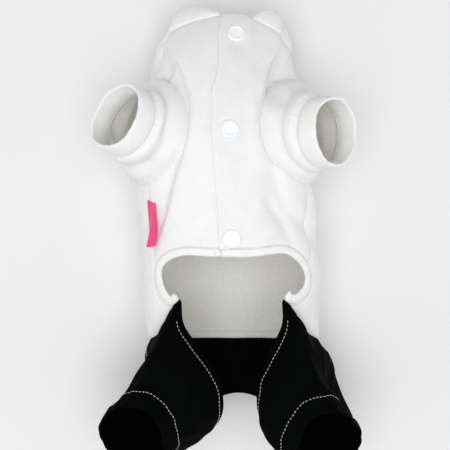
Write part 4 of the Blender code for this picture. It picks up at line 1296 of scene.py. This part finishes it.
def legLoop(sideName):
    # the leg's closed upper edge, and which of its points lie on the free groin edge
    side = sides[sideName]
    sink = twill["wall"] / 2 + seams["pull"]
    turns = np.linspace(math.radians(trousers["seatTop"]), math.radians(seams["waist"][0][0]), 60)
    waist = bodyPoint(side * turns, waistAlong(turns) - seams["waistGap"])
    waist = waist - bodyNormal(side * turns, waistAlong(turns)) * sink
    across, along, height = (column(trousers["groinEdge"], number) for number in range(3))
    along = along * form["length"]
    free = np.stack([leanAt(along) + side * across * form["halfWidth"], along, height * form["depth"]], axis=1)
    turn, along = seatSeam(1)
    turn = turn - seams["gap"] / form["halfWidth"]
    base, out = wornAt(onCloth(side * turn, np.minimum(along, waistAlong(turn) - seams["waistGap"])))
    back = base - out * sink
    groin = np.concatenate([waist[-1:], free, back[-1:]])
    groin = smoothPath(groin, np.linspace(0, len(groin) - 1, 300))
    parts = [evenly(curve, trousers["loopStep"])[:-1] for curve in (waist, groin, back[::-1])]
    return np.concatenate(parts), np.concatenate([np.full(len(part), number == 1) for number, part in enumerate(parts)])


def hump(x, middle, width):
    return np.exp(-(((x - middle) / width) ** 2))


def makeLeg(sideName):
    middle, way, near, across = ringFrame("legs", sideName)
    loop, free = legLoop(sideName)
    across = across * sides[sideName] * -1
    rel = loop - middle
    startBack = rel @ way
    turn = np.unwrap(np.arctan2(rel @ across, rel @ near))
    degrees = np.degrees(turn) % 360
    aside = np.abs((np.degrees(turn) + 180) % 360 - 180)
    startReach = np.hypot(rel @ near, rel @ across)
    length = trousers["clothLength"]
    steps = rowShares(trousers["rows"], (0.00025, 0.0007, 0.0014), length)
    turns = np.broadcast_to(np.mod(turn, wholeTurn), (len(steps), len(loop)))
    lift = limbFolds(turns, steps[:, None], trousers["folds"][sideName], trousers["hemRadius"] * 1.4, length)
    lift = lift * np.minimum(1, np.minimum(6 * steps, 6 * (1 - steps)))[:, None]
    swell = rising(trousers["swellRound"], 1, degrees) * trousers["swell"]
    flat = trousers["hemFlat"][sideName] * hump(degrees, 96, 42)
    flat = flat - trousers["hemCorner"] * (hump(aside, 0, 20) - 0.5 * hump(aside, 50, 22))
    grid, hubs = [], []
    for number, t in enumerate(steps):
        ease = smooth(t)
        reach = startReach * (1 - ease) + trousers["hemRadius"] * ease + swell * 4 * t * (1 - t)
        slack = 0.0004 * np.sin(9 * turn + 7 * t + sides[sideName]) + 0.0003 * np.sin(17 * turn - 11 * t)
        reach = reach + lift[number] - flat * t * t + slack * min(1, 5 * t)
        hub = middle + way * (startBack * (1 - t))[:, None]
        grid.append(hub + near * (np.cos(turn) * reach)[:, None] + across * (np.sin(turn) * reach)[:, None])
        hubs.append(hub)
    grid, hubs = np.array(grid), np.array(hubs)
    down = downColumns(grid)
    up = down[-1] - down
    edgeAway = np.full(grid.shape[:2], 1e9)
    for a, b in zip(loop[free][:-1], loop[free][1:]):
        run = b - a
        part = np.clip((grid - a) @ run / (run @ run), 0, 1)
        edgeAway = np.minimum(edgeAway, np.linalg.norm(grid - a - part[..., None] * run, axis=2))
    raised = 0
    for away, depth in ((up, trousers["hemDepth"]), (edgeAway, trousers["edgeDepth"])):
        raised = raised + trousers["ply"] * smooth((depth + 0.0006 - away) / 0.0012)
        raised = raised - trousers["groove"] * hump(away, depth, 0.0009)
    face = gridNormals(grid, hubs)
    legs[sideName] = {"turn": turn, "grid": grid, "out": face, "lift": raised + twill["wall"] / 2 + stitching["above"]}
    legs[sideName].update({"up": up, "edgeAway": edgeAway, "free": free})
    radii = (np.where(free, twill["wall"] / 2, seams["rimRadius"])[None, :], twill["wall"] / 2)
    return clothTube("trouserLeg" + sideName.capitalize(), grid, hubs, raised, twill["wall"], radii, [twillFace])


stitching = {
    "topstitch": {"pitch": 0.0027, "length": 0.0021, "thread": 0.00044, "seed": 5},
    "cover": {"pitch": 0.0019, "length": 0.0016, "thread": 0.00060, "seed": 9},
    "above": 0.00012,
}
legs = {}
dress(makeSeat(), "black_twill", "trouser_seat")
for sideName in sides:
    dress(makeLeg(sideName), "black_twill", "trouser_leg_" + sideName)
print("trousers made")

# snaps


def turned(name, profile, centre, axis, around, material):
    # a round piece from a profile of radius and height, its middle closed by a fan
    axis = unit(axis)
    first = unit(np.cross(axis, [0.0, 1.0, 0.0]))
    angles, spokes = spokesOf(around, first, np.cross(axis, first))
    points = [centre + axis * height + spokes * radius for radius, height in profile]
    points += [[centre + axis * profile[0][1]], [centre + axis * profile[-1][1]]]
    points = np.concatenate(points)
    faces = gridFaces(around, len(profile)).tolist()
    foot, top = len(points) - 2, len(points) - 1
    last = (len(profile) - 1) * around
    for i in range(around):
        faces.append((foot, (i + 1) % around, i))
        faces.append((top, last + i, last + (i + 1) % around))
    return newPiece(name, points, faces, None, [material])


for number, (along, inwards, tilt) in enumerate(snaps["places"], 1):
    turn, place = snapPlace(along, inwards)
    out = unit(bodyNormal(turn, place)[0] - np.array([0, math.tan(tilt), 0]))
    cloth = bodyPoint(turn, place)[0]
    r, h, lip = snaps["radius"], snaps["height"], snaps["lip"]
    foot = cloth + out * (knit["wall"] + lap["ease"] - snaps["dent"] - 0.0001)
    cap = [(r * 0.93, -0.0003), (r, 0.0002), (r, h * 0.45)]
    turns = np.linspace(0, math.pi / 2, 6)[1:]
    cap += [(r - 0.0010 + lip * math.cos(a), h - lip + lip * math.sin(a)) for a in turns]
    cap += [(r - inwards, h - drop) for inwards, drop in snaps["dish"]]
    cap += [(r * 0.30, h - 0.00042), (r * 0.12, h - 0.00038)]
    dress(turned(f"snapCap{number}", cap, foot, out, 64, resinWhite), "snap_resin", f"snap_cap_{number}")
    foot = cloth - out * (knit["wall"] + snaps["dent"] - 0.0001)
    back = [(r * 0.86, -0.0003)] + [(r * wide, h * high) for wide, high in snaps["back"]]
    dress(turned(f"snapBack{number}", back, foot, -out, 48, resinWhite), "snap_resin", f"snap_back_{number}")
print("snaps made")

# folded tape in the side seam

label = {
    "belowArmhole": 0.0120,
    "length": 0.0285,
    "reach": 0.0098,
    "tape": 0.0008,
    "loop": 0.0042,
    "rows": 46,
    "above": 0.0006,
    "aside": 0.0009,
    # at its top, and how much more at its foot: sine of its lean out of the cloth, and how far the loop gapes
    "stand": (0.14, 0.68),
    "gape": (0.42, 1.18),
    "bend": (0.0019, 0.0004),
    "skew": 0.0040,
    # the folded tape's section: share of the reach, then shares of the gape for its outside and its inside
    "outside": ((0.15, 0.55), (0.35, 0.85), (0.60, 1.0), (0.80, 0.92), (0.92, 0.70), (0.98, 0.35)),
    "inside": ((0.15, 0.55), (0.35, 0.85), (0.60, 1.0), (0.80, 0.92)),
}


def mirrored(half):
    return half + [(reach, -away) for reach, away in reversed(half[:-1])]


def makeLabel():
    top = armholes["middle"] - armholes["halfLength"] - label["belowArmhole"]
    along = np.linspace(top, top - label["length"], label["rows"])
    base, out = wornAt(onCloth(seamTurn(seams["side"], along, -1), along))
    base = base + out * label["above"]
    run = unit(base[-1] - base[0])
    aside = np.cross(out, run)
    aside = aside * np.sign(aside[:, 2:])
    base = base + aside * label["aside"]
    share = np.linspace(0, 1, len(along))
    stand, gapes = (label[name][0] + label[name][1] * share for name in ("stand", "gape"))
    lean = out * stand[:, None] + aside * np.sqrt(1 - stand**2)[:, None]
    leaf, gape = label["tape"] / 2, label["loop"] / 2
    outside = [(0.0, -leaf * 1.6)] + [(reach, -gape * away) for reach, away in label["outside"]] + [(1.0, 0.0)]
    inside = [(0.0, leaf * 0.4)] + [(reach, gape * away - leaf) for reach, away in label["inside"]]
    inside += [(0.90, gape * 0.55 - leaf * 0.5), (0.95, 0.0)]
    across = unit(np.cross(lean, run))
    columns = []
    for reach, away in mirrored(outside) + mirrored(inside):
        bend = (label["bend"][0] + label["bend"][1] * np.sin(share * 5.0 + 0.6)) * math.sin(math.pi * 0.8 * reach)
        skew = run * (label["skew"] * reach)
        columns.append(base + lean * (reach * label["reach"]) + across * (away * gapes + bend)[:, None] + skew)
    return joinGrids("tapeLabel", [np.stack(columns, axis=1)], tapePink)


dress(makeLabel(), "pink_tape", "side_label")

# stitches, by Geometry Nodes

def stitchTree(values):
    # a stitch on every step of a path, laid along it and standing out of the cloth
    tree = bpy.data.node_groups.new("stitchesOnPath", "GeometryNodeTree")
    sockets = {}
    tree.interface.new_socket("Geometry", in_out="INPUT", socket_type="NodeSocketGeometry")
    for name in ("pitch", "length", "thread"):
        sockets[name] = tree.interface.new_socket(name.capitalize(), in_out="INPUT", socket_type="NodeSocketFloat")
        sockets[name].default_value = values[name]
    sockets["material"] = tree.interface.new_socket("Material", in_out="INPUT", socket_type="NodeSocketMaterial")
    tree.interface.new_socket("Geometry", in_out="OUTPUT", socket_type="NodeSocketGeometry")
    source = addNode(tree, "NodeGroupInput")

    def add(kind, links, **settings):
        return addNode(tree, kind, settings, links)

    curve = add("GeometryNodeMeshToCurve", {"Mesh": (source, "Geometry")})
    spaced = add("GeometryNodeResampleCurve", {"Curve": (curve, "Curve"), "Length": (source, "Pitch")}, mode="LENGTH")
    ball = add("GeometryNodeMeshUVSphere", {}, Segments=6, Rings=4, Radius=0.5)
    size = add("ShaderNodeCombineXYZ", {"X": (source, "Length"), "Y": (source, "Thread"), "Z": (source, "Thread")})
    stitch = add("GeometryNodeTransform", {"Geometry": (ball, "Mesh"), "Scale": (size, "Vector")})
    tangent = add("GeometryNodeInputTangent", {})
    outward = add("GeometryNodeInputNamedAttribute", {}, data_type="FLOAT_VECTOR", Name="outward")
    along = add("FunctionNodeAlignRotationToVector", {"Vector": (tangent, "Tangent")}, axis="X")
    links = {"Rotation": (along, "Rotation"), "Vector": (outward, "Attribute")}
    standing = add("FunctionNodeAlignRotationToVector", links, axis="Z", pivot_axis="X")
    spread = {"data_type": "FLOAT_VECTOR", 0: (0.86, 0.85, 0.85), 1: (1.06, 1.1, 1.1), "Seed": values["seed"]}
    vary = addNode(tree, "FunctionNodeRandomValue", spread)
    links = {"Points": (spaced, "Curve"), "Instance": (stitch, "Geometry"), "Rotation": (standing, "Rotation")}
    placed = add("GeometryNodeInstanceOnPoints", {**links, "Scale": (vary, 0)})
    real = add("GeometryNodeRealizeInstances", {"Geometry": (placed, "Instances")})
    soft = add("GeometryNodeSetShadeSmooth", {"Geometry": (real, "Geometry")})
    painted = add("GeometryNodeSetMaterial", {"Geometry": (soft, "Geometry"), "Material": (source, "Material")})
    add("NodeGroupOutput", {"Geometry": (painted, "Geometry")})
    return tree, sockets


def sewStitches(name, paths, values, material):
    # paths are lists of points with the way out of the cloth at each
    mesh = bpy.data.meshes.new(name + "Path")
    edges, first = [], 0
    for path in paths:
        edges += [(first + i, first + i + 1) for i in range(len(path[0]) - 1)]
        first += len(path[0])
    mesh.from_pydata(np.concatenate([path[0] for path in paths]).tolist(), edges, [])
    outward = mesh.attributes.new("outward", "FLOAT_VECTOR", "POINT")
    outward.data.foreach_set("vector", np.concatenate([path[1] for path in paths]).ravel())
    guide = bpy.data.objects.new(name + "Guide", mesh)
    scene.collection.objects.link(guide)
    tree, sockets = stitchTree(values)
    modifier = guide.modifiers.new("stitches", "NODES")
    modifier.node_group = tree
    for title, value in {**values, "material": material}.items():
        if title in sockets:
            modifier[sockets[title].identifier] = value
    bpy.context.view_layer.update()
    plain = bpy.data.meshes.new_from_object(guide.evaluated_get(bpy.context.evaluated_depsgraph_get()))
    guide.modifiers.remove(modifier)
    bpy.data.objects.remove(guide)
    piece = bpy.data.objects.new(name, plain)
    scene.collection.objects.link(piece)
    print(name, len(plain.polygons), "faces")
    return piece


def clothPath(flat, lift):
    # a stitch path on the top, from flat cloth points
    flat = evenly(flat, 0.0008)
    base, out = wornAt(flat)
    return base + out * lift(flat)[:, None], out


def levelPath(leg, field, level, columns=None):
    # the line on a leg where a distance field crosses a level, column by column
    points, normals = [], []
    for i in range(leg["grid"].shape[1]) if columns is None else columns:
        f = leg[field][:, i] - level
        crossing = np.nonzero(f[:-1] * f[1:] <= 0)[0]
        if not len(crossing):
            continue
        j = crossing[0]
        t = f[j] / (f[j] - f[j + 1] + 1e-15)
        place, normal, lift = (leg[part][j, i] * (1 - t) + leg[part][j + 1, i] * t for part in ("grid", "out", "lift"))
        normals.append(unit(normal))
        points.append(place + normals[-1] * lift)
    return np.array(points), np.array(normals)


trouserPaths = []
for leg in legs.values():
    points, normals = levelPath(leg, "up", trousers["hemDepth"])
    trouserPaths.append((np.concatenate([points, points[:1]]), np.concatenate([normals, normals[:1]])))
    trouserPaths.append(levelPath(leg, "edgeAway", trousers["edgeDepth"], np.nonzero(leg["free"])[0][6:-2]))
leg = legs["left"]
places = []
for turn, share in evenly(np.array(trousers["pocket"]), 0.02):
    i = int(np.argmin(np.abs((np.degrees(leg["turn"]) % 360 - turn + 180) % 360 - 180)))
    places.append((int(round(share * (leg["grid"].shape[0] - 1))), i))
j, i = np.array(places).T
trouserPaths.append((leg["grid"][j, i] + leg["out"][j, i] * leg["lift"][j, i][:, None], leg["out"][j, i]))
trouserStitches = sewStitches("trouserStitches", trouserPaths, stitching["topstitch"], threadWhite)
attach(trouserStitches, "root")


def aboveHem(path, rise):
    path = evenly(path, band["step"])
    return path - outOfHem(path) * rise


def onHem(flat):
    return seamPull(flat, [wholeHem]) * 0.9 + 0.0001


coverPaths = [
    clothPath(aboveHem(lowerBandPath[:-12], 0.0012), onHem),
    clothPath(aboveHem(upperBandPath, 0.0012), lambda flat: upperLift(flat) + onHem(flat)),
]
hemStitches = sewStitches("hemStitches", coverPaths, stitching["cover"], threadWhite)
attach(hemStitches, "root")
print("stitches made")
# floor, light and camera

studio = {
    "world": 0.44,
    "camera": (-0.004, 0.0, 0.85),
    "fov": 23.2,
    # place, width, power, colour; each lamp aims at the origin
    "lamps": (
        ((-0.04, -0.22, 1.80), 1.1, 19.0, "#FFFFFF"),
        ((-1.20, -0.30, 0.80), 1.0, 2.2, "#FFFFFF"),
        ((1.20, -0.30, 0.80), 1.0, 2.0, "#FAFBFF"),
    ),
}


def makeFloor():
    mesh = bpy.data.meshes.new("floor")
    mesh.from_pydata([(-3, -3, 0), (3, -3, 0), (3, 3, 0), (-3, 3, 0)], [], [(0, 1, 2, 3)])
    mesh.materials.append(makePlain("floorPaper", floorPaper))
    floor = bpy.data.objects.new("floor", mesh)
    scene.collection.objects.link(floor)


makeFloor()
for place, size, power, color in studio["lamps"]:
    lamp = bpy.data.lights.new("softbox", "AREA")
    lamp.size, lamp.energy, lamp.color = size, power, linearColor(color)[:3]
    holder = bpy.data.objects.new("softbox", lamp)
    holder.location = place
    holder.rotation_euler = (-Vector(place)).to_track_quat("-Z", "Y").to_euler()
    scene.collection.objects.link(holder)
world = bpy.data.worlds.new("studio")
world.use_nodes = True
world.node_tree.nodes["Background"].inputs["Color"].default_value = (1.0, 1.0, 1.0, 1.0)
world.node_tree.nodes["Background"].inputs["Strength"].default_value = studio["world"]
scene.world = world
scene.view_settings.view_transform = "Standard"

camera = bpy.data.objects.new("camera", bpy.data.cameras.new("camera"))
camera.data.sensor_width = 36
camera.data.sensor_fit = "HORIZONTAL"
camera.data.angle = math.radians(studio["fov"])
camera.location = studio["camera"]
scene.collection.objects.link(camera)
scene.camera = camera

print("scene ready")
